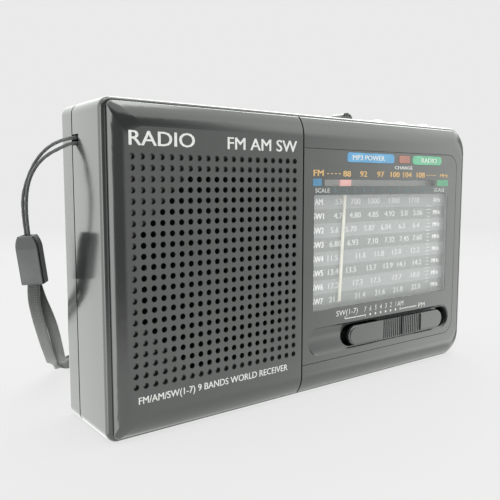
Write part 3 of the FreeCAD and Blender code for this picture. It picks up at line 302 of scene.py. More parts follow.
def clear_lens():
    """A clear window, thin and slightly hazed, with hairline scuffs."""
    s = Surface("lens", Alpha=0.16, IOR=1.5, Specular_IOR_Level=0.9, Coat_Weight=1.0, Coat_Roughness=0.06)
    haze = s.noise(12 * MM, 3.0)
    s.set("Base Color", s.mix(s.spread(haze, 0.0, 1.0), (0.20, 0.21, 0.215), (0.23, 0.24, 0.245)))
    scuff = s.add("ShaderNodeMapping", Vector=s.place, Rotation=(0.0, 0.5, 0.0), Scale=(40.0, 40.0, 1600.0))
    lines = s.add("ShaderNodeTexNoise", Vector=scuff.outputs["Vector"], Scale=1.0, Detail=2.0).outputs["Fac"]
    s.set("Roughness", s.math("ADD", s.spread(lines, 0.0, 0.08, 0.6, 0.75), s.spread(haze, 0.07, 0.11)))
    return s.material


# ---------------------------------------------------------------- dial
BANDS = ("AM", "SW1", "SW2", "SW3", "SW4", "SW5", "SW6", "SW7")
BAND_HEIGHT = (WINDOW.top - WINDOW.low) / len(BANDS)
NEEDLE_HEAD = 58.6


def scale_surface():
    """The printed scale: a light and a darker grey band by turns, and a plain strip above them. The plate is
    milky; it glows all over as painted light, and more towards its right edge, where the glow fills the shade
    by the window's wall."""
    s = Surface("scale_print", Specular_IOR_Level=0.35)
    height = s.axis("Z")
    turn = s.math("DIVIDE", s.math("SUBTRACT", height, WINDOW.low * MM), 2 * BAND_HEIGHT * MM)
    wave = s.math("PINGPONG", s.math("MULTIPLY", turn, 2.0), 1.0)
    light = s.spread(s.math("FRACT", turn), 0.0, 1.0, 0.49, 0.51)
    soft = s.math("ADD", s.math("MULTIPLY", light, 0.85), s.math("MULTIPLY", wave, 0.15))
    bands = s.mix(soft, (0.32, 0.335, 0.325), (0.43, 0.44, 0.45))
    strip = s.spread(height, 0.0, 1.0, WINDOW.top * MM, (WINDOW.top + 0.2) * MM)
    base = s.mix(strip, bands, (0.46, 0.46, 0.46))
    s.set("Base Color", s.times(base, s.spread(s.noise(0.25 * MM, 4.0), 0.94, 1.06)))
    # painted light: the plate glows, more strongly towards its right edge
    s.set("Emission Color", base)
    s.set("Emission Strength", s.spread(s.axis("X"), 0.27, 0.58, 50 * MM, 55 * MM))
    s.set("Roughness", s.spread(s.noise(5 * MM), 0.32, 0.42))
    s.set("Normal", s.bump(s.noise(0.2 * MM, 3.0), 0.004 * MM))
    return s.material


def pointer_surface():
    """The pointer: a cream needle, and a pink head where it crosses the strip. Both glow as painted light,
    the head most.
    """
    s = Surface("pointer_white", Subsurface_Weight=0.2, Subsurface_Scale=0.5 * MM)
    pink = s.spread(s.axis("Z"), 0.0, 1.0, (NEEDLE_HEAD - 0.05) * MM, (NEEDLE_HEAD + 0.05) * MM)
    base = s.mix(pink, (0.83, 0.81, 0.73), (0.80, 0.43, 0.40))
    s.set("Base Color", s.times(base, s.spread(s.noise(1.5 * MM), 0.9, 1.06)))
    s.set("Roughness", s.spread(s.noise(2 * MM), 0.35, 0.5))
    # painted light: the needle glows a little and its pink head more
    s.set("Emission Color", base)
    s.set("Emission Strength", s.spread(pink, 0.25, 0.85, 0.0, 1.0))
    s.set("Normal", s.bump(s.noise(0.5 * MM), 0.004 * MM))
    return s.material


def board_surface():
    """Solder mask over copper tracks, with tinned pads."""
    s = Surface("board_green", Specular_IOR_Level=0.5)
    grid = s.add("ShaderNodeTexBrick", {"offset": 0.37, "squash": 1.7}, Vector=turned_to_board(s),
                 Scale=260.0, Mortar_Size=0.06)
    tracks = s.math("MULTIPLY", grid.outputs["Fac"], s.spread(s.noise(6 * MM), 0.0, 1.0, 0.4, 0.5))
    pads = s.add("ShaderNodeTexVoronoi", Vector=turned_to_board(s), Scale=330.0)
    pad = s.spread(pads.outputs["Distance"], 1.0, 0.0, 0.10, 0.14)
    base = s.mix(tracks, (0.015, 0.10, 0.045), (0.04, 0.20, 0.09))
    s.set("Base Color", s.mix(pad, base, (0.62, 0.62, 0.60)))
    s.set("Metallic", s.math("MULTIPLY", pad, 0.9))
    s.set("Roughness", s.spread(s.noise(4 * MM), 0.26, 0.4))
    s.set("Normal", s.bump(s.math("MULTIPLY_ADD", pad, 2.0, tracks), 0.04 * MM))
    return s.material


def turned_to_board(s):
    """Coordinates whose first two axes lie in an upright board."""
    return s.add("ShaderNodeMapping", Vector=s.place, Rotation=(math.pi / 2, 0.0, 0.0)).outputs["Vector"]


def paper_surface():
    s = Surface("cone_paper", Sheen_Weight=0.2, Sheen_Roughness=0.6)
    fibre = s.noise(0.5 * MM, 6.0, rough=0.75)
    s.set("Base Color", s.mix(s.spread(fibre, 0.0, 1.0), (0.018, 0.018, 0.018), (0.045, 0.044, 0.042)))
    s.set("Roughness", s.spread(fibre, 0.75, 0.95))
    s.set("Normal", s.bump(fibre, 0.05 * MM))
    return s.material


def ferrite_surface():
    s = Surface("ferrite", Specular_IOR_Level=0.4)
    grain = s.noise(0.4 * MM, 6.0, rough=0.8)
    s.set("Base Color", s.mix(s.spread(grain, 0.0, 1.0), (0.035, 0.033, 0.031), (0.085, 0.080, 0.074)))
    s.set("Roughness", s.spread(grain, 0.5, 0.75))
    s.set("Normal", s.bump(grain, 0.04 * MM))
    return s.material


def wound_surface():
    """Enamelled wire wound round an axis along X."""
    s = Surface("copper_coil", Metallic=0.6)
    turns = s.math("PINGPONG", s.math("MULTIPLY", s.axis("X"), 1 / (0.3 * MM)), 0.5)
    s.set("Base Color", s.mix(turns, (0.16, 0.05, 0.015), (0.62, 0.26, 0.10)))
    s.set("Roughness", s.spread(s.noise(2 * MM), 0.25, 0.4))
    s.set("Normal", s.bump(turns, 0.12 * MM))
    return s.material


def twisted(name, color, pitch):
    s = Surface(name, Sheen_Weight=0.3, Sheen_Roughness=0.5)
    lay = s.math("ADD", s.axis("X"), s.axis("Z"))
    strand = s.math("PINGPONG", s.math("MULTIPLY", lay, 1 / pitch), 0.5)
    s.set("Base Color", s.mix(strand, shade(color, 0.55), shade(color, 1.1)))
    s.set("Roughness", s.spread(s.noise(0.4 * MM), 0.6, 0.8))
    s.set("Normal", s.bump(strand, 0.08 * MM))
    return s.material


def braided(name, color):
    """Fine filaments over the braid that the mesh carries."""
    s = Surface(name, Sheen_Weight=0.35, Sheen_Roughness=0.45)
    fibre = s.noise(0.12 * MM, 5.0, rough=0.7)
    s.set("Base Color", s.mix(s.spread(fibre, 0.0, 1.0), shade(color, 0.5), shade(color, 1.8)))
    s.set("Roughness", s.spread(fibre, 0.55, 0.8))
    s.set("Normal", s.bump(fibre, 0.03 * MM))
    return s.material


def ribbed(name):
    """Webbing: picks across the ribs that the mesh carries, from the ribbon's own coordinates. The half that
    leaves the sleeve first is painted darker as painted shade."""
    s = Surface(name, Sheen_Weight=0.4, Sheen_Roughness=0.5)
    run = s.add("ShaderNodeTexCoord").outputs["UV"]
    picks = s.math("PINGPONG", s.math("MULTIPLY", s.axis("X", run), 1 / (0.7 * MM)), 0.5)
    fibre = s.noise(0.15 * MM, 5.0, rough=0.7)
    weave = s.math("MULTIPLY_ADD", fibre, 0.6, picks)
    base = s.mix(s.spread(weave, 0.0, 1.0, 0.3, 0.8), (0.022, 0.023, 0.022), (0.085, 0.086, 0.081))
    rib = s.math("PINGPONG", s.math("MULTIPLY", s.axis("Y", run), 2.0 * WEBBING_RIBS), 0.5)
    # painted shade: near-black lines along the grooves between the ribs
    base = s.mix(s.spread(rib, 0.0, 1.0, 0.06, 0.34), (0.008, 0.008, 0.008), base)
    # painted shade: the half that leaves the sleeve first is darkened
    painted_shade_half = s.spread(s.axis("X", run), 1.0, 0.0, WEBBING_TURN - 15 * MM, WEBBING_TURN + 15 * MM)
    s.set("Base Color", s.mix(painted_shade_half, base, (0.012, 0.013, 0.012)))
    s.set("Roughness", s.spread(fibre, 0.6, 0.85))
    s.set("Normal", s.bump(weave, 0.10 * MM))
    return s.material


def ink(name, color, rough=0.5, glow=0.0):
    """Screen ink: nearly flat, thinner in small spots. Its glow, given to the inks on the milky scale plate,
    is painted light.
    """
    s = Surface(name, Specular_IOR_Level=0.4, Emission_Color=color, Emission_Strength=glow)
    thin = s.spread(s.noise(0.2 * MM, 4.0), 0.0, 1.0, 0.35, 0.6)
    s.set("Base Color", s.mix(thin, shade(color, 0.86), color))
    s.set("Roughness", s.spread(s.noise(0.5 * MM), rough - 0.06, rough + 0.08))
    s.set("Normal", s.bump(s.noise(0.15 * MM, 3.0), 0.003 * MM))
    return s.material


# ---------------------------------------------------------------- mesh helpers
def link_mesh(name, points, faces, material, smooth=False):
    mesh = bpy.data.meshes.new(name)
    mesh.from_pydata([tuple(p) for p in points], [], faces)
    mesh.materials.append(material)
    if smooth:
        mesh.shade_smooth()
    mesh.update()
    piece = bpy.data.objects.new(name, mesh)
    SCENE.collection.objects.link(piece)
    return piece


def glyphs(text):
    """The points and faces of a word, with some thickness."""
    curve = bpy.data.curves.new("glyphs", "FONT")
    curve.body, curve.extrude, curve.resolution_u = text, 0.5, 3
    holder = bpy.data.objects.new("glyphs", curve)
    SCENE.collection.objects.link(holder)
    ready = holder.evaluated_get(bpy.context.evaluated_depsgraph_get())
    mesh = bpy.data.meshes.new_from_object(ready)
    points = np.array([v.co for v in mesh.vertices], float).reshape(-1, 3)
    faces = [tuple(p.vertices) for p in mesh.polygons]
    bpy.data.objects.remove(holder)
    bpy.data.curves.remove(curve)
    bpy.data.meshes.remove(mesh)
    return points, faces


class Print:
    """One ink on one upright face: words, bars and dots that end up as a single piece."""

    def __init__(self, name, material, front, thickness=INK):
        self.name, self.material, self.front, self.thickness = name, material, front, thickness
        self.points, self.faces = [], []

    def take(self, points, faces):
        start = len(self.points)
        self.points += points
        self.faces += [tuple(start + i for i in face) for face in faces]

    def word(self, text, low, cap, left=None, right=None, centre=None, squeeze=0.92, bold=0.0, slant=0.0):
        """A word with capitals cap high, set between left and right, or on a centre. Bold letters are set
        twice, a little apart. Millimetres."""
        points, faces = glyphs(text)
        tall = glyphs("H")[0][:, 1].max()
        rise = cap / tall
        wide = points[:, 0].max() - points[:, 0].min()
        run = (right - left) / wide if right is not None else rise * squeeze
        start = left if left is not None else centre - wide * run / 2
        x = start + (points[:, 0] - points[:, 0].min()) * run + points[:, 1] * rise * slant
        z = low + points[:, 1] * rise
        y = self.front - (points[:, 2] + 0.5) * self.thickness
        settings = ((-bold, 0.0), (bold, 0.1 * self.thickness)) if bold else ((0.0, 0.0),)
        for aside, lift in settings:
            self.take([((a + aside) * MM, b - lift, c * MM) for a, b, c in zip(x, y, z)], faces)

    def shape(self, outline):
        """A flat closed outline of (x, z) points, anticlockwise as seen from the front. Millimetres."""
        n = len(outline)
        back = [(x * MM, self.front, z * MM) for x, z in outline]
        face = [(x * MM, self.front - self.thickness, z * MM) for x, z in outline]
        sides = [(i, (i + 1) % n, n + (i + 1) % n, n + i) for i in range(n)]
        self.take(back + face, [tuple(range(n, 2 * n)), tuple(reversed(range(n))), *sides])

    def bar(self, left, right, low, high, radius=0.0, steps=5):
        outline = []
        for x, z, turn in ((right, low, -0.5), (right, high, 0.0), (left, high, 0.5), (left, low, 1.0)):
            cx = x - radius if x == right else x + radius
            cz = z - radius if z == high else z + radius
            for i in range(steps + 1 if radius else 1):
                angle = math.pi * (turn + 0.5 * i / steps)
                outline.append((cx + radius * math.cos(angle), cz + radius * math.sin(angle)))
        self.shape(outline)

    def dot(self, x, z, radius, steps=16):
        turns = [2 * math.pi * i / steps for i in range(steps)]
        self.shape([(x + radius * math.cos(t), z + radius * math.sin(t)) for t in turns])

    def finish(self, body="case"):
        piece = link_mesh(self.name, self.points, self.faces, self.material)
        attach(piece, body)
        return piece


# ---------------------------------------------------------------- print
FM_MARKS = (("88", 7.1), ("92", 14.0), ("97", 21.4), ("100", 28.1), ("104", 33.9), ("108", 40.5))
SCALE_MARKS = (2.5, 7.1, 10.4, 14.3, 18.0, 22.1, 26.1, 30.1, 34.2, 38.1, 42.0)
BAND_MARKS = {
    "AM": (("530", 7.2), ("700", 13.6), ("1000", 21.7), ("1300", 31.1), ("1710", 40.9)),
    "SW1": (("4.75", 7.0), ("4.80", 13.5), ("4.85", 21.4), ("4.92", 29.0), ("5.0", 36.1), ("5.06", 43.0)),
    "SW2": (("5.6", 5.0), ("5.70", 11.8), ("5.87", 19.9), ("6.04", 27.4), ("6.2", 35.1), ("6.4", 42.2)),
    "SW3": (("6.80", 5.4), ("6.93", 12.7), ("7.10", 21.5), ("7.32", 29.3), ("7.45", 36.4), ("7.60", 43.0)),
    "SW4": (("11.5", 4.4), ("11.6", 16.3), ("11.8", 24.6), ("12.0", 32.9), ("12.2", 42.1)),
    "SW5": (("13.4", 4.7), ("13.5", 12.2), ("13.7", 21.2), ("13.9", 28.9), ("14.1", 35.3), ("14.2", 43.3)),
    "SW6": (("17.2", 4.9), ("17.3", 15.2), ("17.5", 23.3), ("17.7", 33.4), ("18.0", 42.5)),
    "SW7": (("21.3", 5.4), ("21.4", 16.2), ("21.6", 25.3), ("21.8", 33.9), ("22.0", 43.0)),
}
# Words of the speaker side: text, low edge, height of capitals, left, right, boldness
SPEAKER_WORDS = (
    ("RADIO", 67.95, 3.2, -60.9, -44.0, 0.08),
    ("FM AM SW", 67.95, 2.9, -34.5, -12.1, 0.07),
    ("FM/AM/SW(1-7) 9 BANDS WORLD RECEIVER", 8.85, 1.65, -59.7, -14.9, 0.03),
)
# Words on the two long lamps: the lamp, text, left, right
LAMP_WORDS = (("lamp_blue", "MP3 POWER", 9.3, 23.0), ("lamp_green", "RADIO", 40.6, 48.4))
# The dots over the band switch: the first one's place, their spacing, number and height
SWITCH_FIRST, SWITCH_STEP, SWITCH_PLACES, SWITCH_HIGH = 15.75, 2.34, 8, 20.2
# The dark band's words, and the ticks down the right of the scale: number, spacing and place
SCALE_WORDS_LOW = 57.2
SCALE_TICKS, SCALE_TICK_STEP, SCALE_TICK_X = 23, 1.15, 48.6


def print_grille(white):
    words = Print("print_speaker_side", white, GRILLE_FRONT)
    for text, low, cap, left, right, bold in SPEAKER_WORDS:
        words.word(text, low, cap, left=left, right=right, bold=bold)
    words.finish()


def print_dark_band(dark, dim, white):
    """The dark band between window and strip: its ground, the scale's numbers, and the word at each end."""
    ground = Print("print_dark_band", dark, PANEL_FRONT)
    ground.bar(WINDOW.left, WINDOW.right, WINDOW.top + 0.05, STRIP.low - 0.05)
    ground.finish()
    words = Print("print_band_white", white, PANEL_FRONT - INK)
    for left in (-5.2, 47.6):
        words.word("SCALE", SCALE_WORDS_LOW, 1.1, left=left, right=left + 5.4)
    words.finish()
    digits = Print("print_band_dim", dim, PANEL_FRONT - INK)
    for number, x in enumerate(SCALE_MARKS):
        digits.word(str(number), SCALE_WORDS_LOW - 0.1, 1.3, centre=x, squeeze=0.8)
    digits.finish()


def print_switch_marks(white):
    """White marks of the panel: the lamp's name, and the names, dots and lines over the band switch."""
    marks = Print("print_panel_white", white, PANEL_FRONT)
    marks.word("CHARGE", 64.15, 0.95, left=27.9, right=36.3, bold=0.05)
    marks.word("SW(1-7)", 21.35, 1.55, left=3.5, right=12.5, slant=0.12)
    for i in range(SWITCH_PLACES):
        x = SWITCH_FIRST + SWITCH_STEP * i
        marks.dot(x, SWITCH_HIGH, 0.36)
        if i < SWITCH_PLACES - 1:
            marks.word(str(7 - i), 21.3, 1.5, centre=x, squeeze=0.8, slant=0.12)
    marks.word("AM", 21.2, 1.5, left=30.6, right=33.4, slant=0.12)
    marks.word("FM", 19.55, 1.45, left=41.2, right=44.4)
    marks.bar(7.1, SWITCH_FIRST, 20.08, 20.34)
    marks.bar(7.1, 7.36, 20.3, 20.95)
    marks.bar(32.1, 40.2, 20.08, 20.34)
    marks.finish()


def print_frequency_row(amber):
    """The amber row over the strip."""
    row = Print("print_panel_amber", amber, PANEL_FRONT)
    row.word("FM", 61.75, 1.65, left=-5.9, right=-2.2, bold=0.08)
    for text, x in FM_MARKS:
        row.word(text, 61.7, 1.6, centre=x, squeeze=1.36, bold=0.09)
    for x in [-0.9 + 1.55 * i for i in range(4)] + [43.4 + 1.35 * i for i in range(4)]:
        row.bar(x, x + 0.85, 62.32, 62.55)
    row.word("MHz", 61.95, 1.05, left=50.6, right=54.8, bold=0.06)
    row.finish()


def print_blocks(blue, green):
    """The coloured blocks at the strip's ends."""
    for tint, material, left, right in (("blue", blue, -6.13, -2.78), ("green", green, 48.92, 55.07)):
        block = Print("print_block_" + tint, material, PANEL_FRONT, 2 * INK)
        block.bar(left, right, 59.0, 61.0, 0.2)
        block.finish()


def print_lamps(white):
    for node, text, left, right in LAMP_WORDS:
        low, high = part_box(node)
        words = Print("print_" + node, white, low.y)
        middle = (low.z + high.z) / 2 / MM
        words.word(text, middle - 0.7, 1.4, left=left, right=right, bold=0.04)
        words.finish()


def print_scale(white, pale):
    labels = Print("print_band_names", white, SCALE_FRONT)
    numbers = Print("print_frequencies", pale, SCALE_FRONT)
    for i, name in enumerate(BANDS):
        low = WINDOW.top - BAND_HEIGHT * (i + 0.5) - 0.8
        left, right = (-2.9, 0.1) if name == "AM" else (-3.7, 0.6)
        labels.word(name, low, 1.7, left=left, right=right, bold=0.08)
        for text, x in BAND_MARKS[name]:
            numbers.word(text, low, 1.65, centre=x, squeeze=1.18, bold=0.07)
        labels.word("KHz" if name == "AM" else "MHz", low + 0.1, 1.4, centre=52.9, squeeze=1.0, bold=0.10)
    for i in range(SCALE_TICKS):
        z = WINDOW.top - BAND_HEIGHT - i * SCALE_TICK_STEP
        wide = 2.6 if i % 6 in (0, 1) else 1.3
        numbers.bar(SCALE_TICK_X - wide / 2, SCALE_TICK_X + wide / 2, z - 0.12, z + 0.12)
    labels.finish()
    numbers.finish()


def make_print():
    white = ink("ink_white", (0.62, 0.62, 0.61))
    # painted light: the two inks of the scale plate glow
    pale = ink("ink_pale", (0.80, 0.81, 0.81), glow=0.20)
    bright = ink("ink_bright", (0.92, 0.92, 0.91), glow=0.35)
    amber = ink("ink_amber", (0.60, 0.38, 0.16))
    dim = ink("ink_dim", (0.13, 0.20, 0.25))
    dark = moulded("ink_dark", (0.017, 0.025, 0.026), 0.2, specular=1.0)
    blue = ink("ink_blue", (0.075, 0.205, 0.35))
    green = ink("ink_green", (0.135, 0.335, 0.215))
    print_grille(white)
    print_dark_band(dark, dim, white)
    print_switch_marks(white)
    print_frequency_row(amber)
    print_blocks(blue, green)
    print_lamps(white)
    print_scale(bright, pale)


# ---------------------------------------------------------------- wrist strap
STRING_ROUTE = [
    (-73.95, 15.5, 44.4), (-74.55, 15.3, 49.0), (-74.75, 15.2, 54.6), (-74.3, 14.5, 59.6),
    (-73.1, 12.8, 63.4), (-71.2, 10.2, 66.2), (-68.9, 7.0, 67.9), (-67.2, 4.2, 69.0), (-65.2, 3.2, 69.1),
    (-61.6, 3.2, 68.4), (-61.6, 3.2, 71.2), (-65.2, 3.2, 70.5), (-67.3, 4.1, 70.2), (-68.9, 7.0, 69.6),
    (-70.6, 10.0, 68.3), (-72.5, 12.6, 65.6), (-73.9, 14.9, 61.8), (-75.3, 16.0, 56.6),
    (-75.15, 16.3, 51.5), (-74.7, 16.4, 47.6), (-74.45, 16.4, 44.4)]
WEBBING_ROUTE = [
    (-73.09, 17.04, 37.1), (-71.9, 17.4, 31.8), (-68.4, 20.9, 25.4), (-65.2, 26.4, 19.6),
    (-62.0, 33.3, 13.6), (-59.0, 39.7, 8.0), (-56.4, 46.2, 4.0), (-52.4, 50.6, 1.9), (-46.2, 54.4, 1.7),
    (-37.6, 53.8, 1.7), (-28.8, 49.2, 1.7), (-21.0, 42.0, 1.7), (-13.0, 34.6, 1.7), (-4.0, 29.4, 1.7),
    (5.6, 28.4, 1.7), (12.6, 34.4, 1.7), (11.2, 43.6, 1.7), (3.2, 50.2, 1.7), (-7.0, 54.6, 1.7),
    (-18.0, 57.8, 1.7), (-29.0, 59.8, 1.7), (-39.5, 60.0, 1.7), (-48.4, 57.8, 1.7), (-54.8, 52.8, 1.9),
    (-59.1, 46.3, 4.0), (-61.8, 39.8, 8.0), (-65.1, 33.4, 13.6), (-68.4, 26.5, 19.6), (-71.3, 20.7, 25.4),
    (-73.5, 16.6, 31.8), (-73.23, 15.56, 37.1)]
STRING_WIDE, STRING_LENGTH = 0.85 * MM, 76.5 * MM
WEBBING_WIDE, WEBBING_THICK = 3.2 * MM, 0.9 * MM


def route_line(route, step):
    """Points along the route's smooth line, about step apart."""
    curve = bpy.data.curves.new("route", "CURVE")
    curve.dimensions, curve.resolution_u = "3D", 24
    spline = curve.splines.new("NURBS")
    spline.points.add(len(route) - 1)
    for point, (x, y, z) in zip(spline.points, route):
        point.co = (x * MM, y * MM, z * MM, 1.0)
    spline.order_u, spline.use_endpoint_u = 3, True
    holder = bpy.data.objects.new("route", curve)
    SCENE.collection.objects.link(holder)
    mesh = bpy.data.meshes.new_from_object(holder.evaluated_get(bpy.context.evaluated_depsgraph_get()))
    line = np.array([v.co for v in mesh.vertices], float).reshape(-1, 3)
    bpy.data.objects.remove(holder)
    bpy.data.curves.remove(curve)
    bpy.data.meshes.remove(mesh)
    along = np.concatenate([[0.0], np.cumsum(np.linalg.norm(np.diff(line, axis=0), axis=1))])
    even = np.linspace(0.0, along[-1], max(2, round(along[-1] / step)))
    return np.stack([np.interp(even, along, line[:, i]) for i in range(3)], axis=1), even


def sweep(name, line, along, sections, sides, material):
    """A skin over cross sections that stand across a line. sections(i, tangent) gives (side, lift) pairs and
    the side direction at point i. The skin's first coordinate is the way along, the second the way round."""
    tangents = np.gradient(line, axis=0)
    tangents /= np.linalg.norm(tangents, axis=1)[:, None]
    points, faces = [], []
    for i, (at, tangent) in enumerate(zip(line, tangents)):
        pairs, side = sections(i, tangent)
        side = side - tangent * side.dot(tangent)
        side /= np.linalg.norm(side)
        lift = np.cross(tangent, side)
        points += [at + side * a + lift * b for a, b in pairs]
    rings = len(line)
    for i in range(rings - 1):
        for j in range(sides):
            k = (j + 1) % sides
            faces.append((i * sides + j, i * sides + k, (i + 1) * sides + k, (i + 1) * sides + j))
    faces += [tuple(reversed(range(sides))), tuple((rings - 1) * sides + j for j in range(sides))]
    piece = link_mesh(name, points, faces, material, smooth=True)
    layer = piece.data.uv_layers.new(name="run")
    for polygon in piece.data.polygons:
        for corner in polygon.loop_indices:
            vertex = piece.data.loops[corner].vertex_index
            layer.data[corner].uv = (along[vertex // sides], (vertex % sides) / sides)
    return piece


def make_string(material):
    """Thin braided string: strands that run both ways round it."""
    line, along = route_line(STRING_ROUTE, 0.16 * MM)
    sides, strands, lay = 24, 4, 2 * math.pi / (2.6 * MM)
    carried = {"side": np.array((1.0, 0.0, 0.0))}

    def sections(i, tangent):
        side = carried["side"] - tangent * carried["side"].dot(tangent)
        carried["side"] = side / np.linalg.norm(side)
        ring = []
        for j in range(sides):
            angle = 2 * math.pi * j / sides
            twist = lay * along[i]
            crest = max(math.cos(strands * angle + twist), math.cos(strands * angle - twist))
            radius = STRING_WIDE / 2 * (0.90 + 0.10 * crest)
            ring.append((radius * math.cos(angle), radius * math.sin(angle)))
        return ring, carried["side"]

    piece = sweep("wrist_string_braid", line, along, sections, sides, material)
    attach(piece, "case")
    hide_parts("wrist_string")


def make_webbing(material):
    """Narrow webbing with ribs along it. It hangs flat from the sleeve and lies on its edge on the ground."""
    line, along = route_line(WEBBING_ROUTE, 0.55 * MM)
    ribs, per_rib = WEBBING_RIBS, 4
    across = np.array(SLEEVE_ACROSS)
    upright = np.array((0.0, 0.0, 1.0))
    half, thick = WEBBING_WIDE / 2, WEBBING_THICK / 2
    profile = []
    for side in (1, -1):
        for j in range(ribs * per_rib):
            t = (j + 0.5) / (ribs * per_rib)
            rib = abs(math.sin(math.pi * ribs * t))
            rim = math.sqrt(max(0.0, 1 - (2 * t - 1) ** 6))
            profile.append((side * half * (2 * t - 1), side * -thick * rim * (0.74 + 0.26 * rib)))
    sides = len(profile)
    on_edge, rise = 2.2 * MM, 4.0 * MM

    def sections(i, tangent):
        hanging = min(1.0, max(0.0, (line[i][2] - on_edge) / rise))
        hanging = hanging * hanging * (3 - 2 * hanging)
        strand = 1 if i < len(line) / 2 else -1
        return profile, across * hanging * strand + upright * (1 - hanging)

    piece = sweep("strap_webbing_braid", line, along, sections, sides, material)
    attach(piece, "case")
    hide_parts("strap_webbing")


# ---------------------------------------------------------------- cloth behind the perforations
def make_speaker_cloth():
    """A thin black cloth stretched behind the speaker panel."""
    s = Surface("speaker_cloth", Sheen_Weight=0.15, Sheen_Roughness=0.6, Specular_IOR_Level=0.1)
    across = s.math("PINGPONG", s.math("MULTIPLY", s.axis("X"), 1 / (0.3 * MM)), 0.5)
    down = s.math("PINGPONG", s.math("MULTIPLY", s.axis("Z"), 1 / (0.3 * MM)), 0.5)
    weave = s.math("ADD", across, down)
    s.set("Base Color", s.mix(weave, (0.003, 0.003, 0.003), (0.012, 0.012, 0.012)))
    s.set("Roughness", s.spread(s.noise(0.5 * MM), 0.85, 0.98))
    s.set("Normal", s.bump(weave, 0.05 * MM))
    low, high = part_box("speaker_grille")
    left, right, base, top = low.x + 3.2 * MM, high.x - 2.9 * MM, low.z + 6.6 * MM, high.z - 6.8 * MM
    y, thick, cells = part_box("speaker_frame")[0].y - 0.09 * MM, 0.05 * MM, 24
    points, faces = [], []
    for side in (0.0, thick):
        for i in range(cells + 1):
            for j in range(cells + 1):
                points.append((left + (right - left) * i / cells, y + side, base + (top - base) * j / cells))
    n, layer = cells + 1, (cells + 1) ** 2
    for i in range(cells):
        for j in range(cells):
            a = i * n + j
            faces.append((a, a + n, a + n + 1, a + 1))
            faces.append((layer + a, layer + a + 1, layer + a + n + 1, layer + a + n))
    for j in range(cells):
        faces += [(j, j + 1, layer + j + 1, layer + j),
                  (cells * n + j + 1, cells * n + j, layer + cells * n + j, layer + cells * n + j + 1),
                  ((j + 1) * n, j * n, layer + j * n, layer + (j + 1) * n),
                  (j * n + cells, (j + 1) * n + cells, layer + (j + 1) * n + cells, layer + j * n + cells)]
    piece = link_mesh("speaker_cloth", points, faces, s.material)
    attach(piece, "case")


# ---------------------------------------------------------------- floor and light
BACKDROP_LIGHT, BACKDROP_RADIUS = 0.823, 6.0
FLOOR_LIGHT, FLOOR_RADIUS = 0.712, 0.8
ROOM_COLOR = (0.97, 1.0, 0.965, 1.0)
BEHIND_LIGHT, NEAR_GROUND_LIGHT = 2.15, 0.3
# Bright and dark parts of the room: azimuth and elevation limits in degrees, their softness, and the light
ROOM = [
    ("ceiling lamp", (-170.0, 0.0), (60.0, 76.0), (10.0, 4.0), 6.0),
    ("table in front", (-80.0, 20.0), (-90.0, -24.0), (10.0, 6.0), 1.3),
    ("wall above the table", (-52.0, 10.0), (12.0, 36.0), (7.0, 5.0), 2.3),
    ("table at the left", (-140.0, -62.0), (-90.0, -15.0), (14.0, 6.0), 1.35),
    ("dark room in front", (-150.0, -92.0), (-13.0, 30.0), (10.0, 5.0), 0.35),
    ("dark room above the table", (-130.0, -56.0), (8.0, 30.0), (9.0, 3.0), 0.22),
    ("dark room at the right", (-18.0, 26.0), (-24.0, 20.0), (8.0, 5.0), 0.6),
    ("window at the left", (-178.0, -152.0), (-25.0, 20.0), (4.0, 6.0), 3.6),
    ("lamp behind at the right", (6.0, 80.0), (24.0, 60.0), (8.0, 5.0), 4.2),
    ("lamp tube behind", (4.0, 64.0), (30.0, 44.0), (5.0, 4.0), 11.0),
]


def make_room():
    """The surroundings that the glossy case mirrors. The camera sees the plain backdrop in their place."""
    world = bpy.data.worlds.new("studio")
    SCENE.world = world
    world.use_nodes = True
    background = world.node_tree.nodes["Background"]
    sky = Nodes(world.node_tree)
    way = sky.add("ShaderNodeTexCoord").outputs["Generated"]
    azimuth = sky.math("DEGREES", sky.math("ARCTAN2", sky.axis("Y", way), sky.axis("X", way)))
    height = sky.math("DEGREES", sky.math("ARCSINE", sky.axis("Z", way)))

    def lit(light, mask, level):
        """The light so far, brought to a level where the mask is 1."""
        return sky.math("MULTIPLY_ADD", mask, sky.math("SUBTRACT", level, light), light)

    # In front the light grows towards the right, and more of it comes from near the ground
    light = sky.math("ADD", sky.spread(azimuth, 1.10, 1.25, -64.0, -49.0),
                     sky.spread(azimuth, 0.0, 1.15, -49.0, -35.0))
    light = sky.math("MULTIPLY_ADD", sky.between(height, -90.0, -14.0, 6.0), NEAR_GROUND_LIGHT, light)
    above = sky.math("MULTIPLY", sky.between(height, 33.0, 91.0, 3.0), sky.between(azimuth, -180.0, 0.0, 5.0))
    light = lit(light, above, sky.spread(azimuth, 1.5, 2.05, -70.0, -40.0))
    light = lit(light, sky.between(azimuth, 20.0, 176.0, 12.0), BEHIND_LIGHT)
    for _, across, up, soft, level in ROOM:
        mask = sky.math("MULTIPLY", sky.between(azimuth, *across, soft[0]), sky.between(height, *up, soft[1]))
        light = lit(light, mask, level)
    sky.put(background.inputs["Strength"], light)
    background.inputs["Color"].default_value = ROOM_COLOR
    SCENE.view_settings.view_transform = "Standard"


def only_for_camera(thing):
    """The case mirrors the room, so what the camera sees behind it is left out of the light."""
    thing.visible_diffuse = thing.visible_glossy = thing.visible_transmission = False
    thing.visible_shadow = False


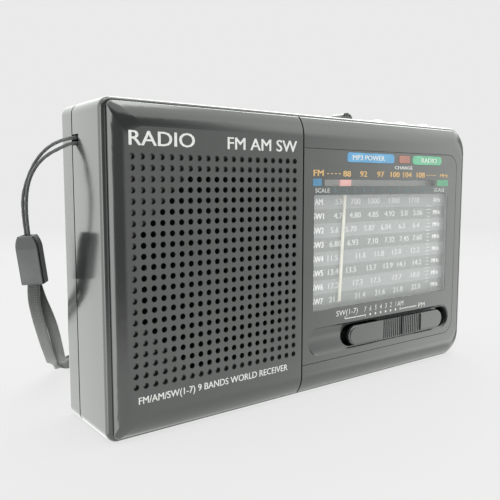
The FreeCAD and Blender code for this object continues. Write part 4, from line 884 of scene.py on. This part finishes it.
def make_floor():
    """A pale floor that fades into the backdrop."""
    s = Surface("floor", Roughness=0.9, Specular_IOR_Level=0.0)
    tone = s.spread(s.noise(300 * MM, 2.0), 0.0, 1.0)
    s.set("Base Color", s.mix(tone, (0.060, 0.060, 0.060), (0.064, 0.064, 0.064)))
    s.set("Emission Color", (1.0, 1.0, 1.0, 1.0))
    s.set("Emission Strength", FLOOR_LIGHT)
    away = s.add("ShaderNodeVectorMath", {"operation": "LENGTH"}, Vector=s.place).outputs["Value"]
    s.set("Alpha", s.spread(away, 1.0, 0.0, 0.30, 0.75))
    steps = 32
    turns = [2 * math.pi * i / steps for i in range(steps)]
    rim = [(FLOOR_RADIUS * math.cos(t), FLOOR_RADIUS * math.sin(t), 0.0) for t in turns]
    only_for_camera(link_mesh("floor", rim, [tuple(range(steps))], s.material))


def make_backdrop():
    """A plain pale surround, far away."""
    s = Surface("backdrop", Roughness=1.0, Specular_IOR_Level=0.0, Base_Color=(0.0, 0.0, 0.0))
    s.set("Emission Color", (1.0, 1.0, 1.0, 1.0))
    s.set("Emission Strength", BACKDROP_LIGHT)
    points, faces, rings, steps = [], [], 12, 24
    for i in range(rings + 1):
        tilt = math.pi * (i / rings - 0.5)
        wide, high = BACKDROP_RADIUS * math.cos(tilt), BACKDROP_RADIUS * math.sin(tilt)
        for j in range(steps):
            turn = 2 * math.pi * j / steps
            points.append((wide * math.cos(turn), wide * math.sin(turn), high))
    for i in range(rings):
        for j in range(steps):
            k = (j + 1) % steps
            faces.append((i * steps + j, i * steps + k, (i + 1) * steps + k, (i + 1) * steps + j))
    only_for_camera(link_mesh("backdrop", points, faces, s.material))


# ---------------------------------------------------------------- build
make_camera()
MATERIALS = make_materials()
make_string(MATERIALS["string"])
make_webbing(MATERIALS["webbing"])
for part in frame["record"]["subparts"]:
    mesh = NODES[part["node"]].data
    mesh.materials.clear()
    mesh.materials.append(MATERIALS[part["material_slot"]])
make_speaker_cloth()
make_print()
make_floor()
make_backdrop()
make_room()

bpy.context.view_layer.update()
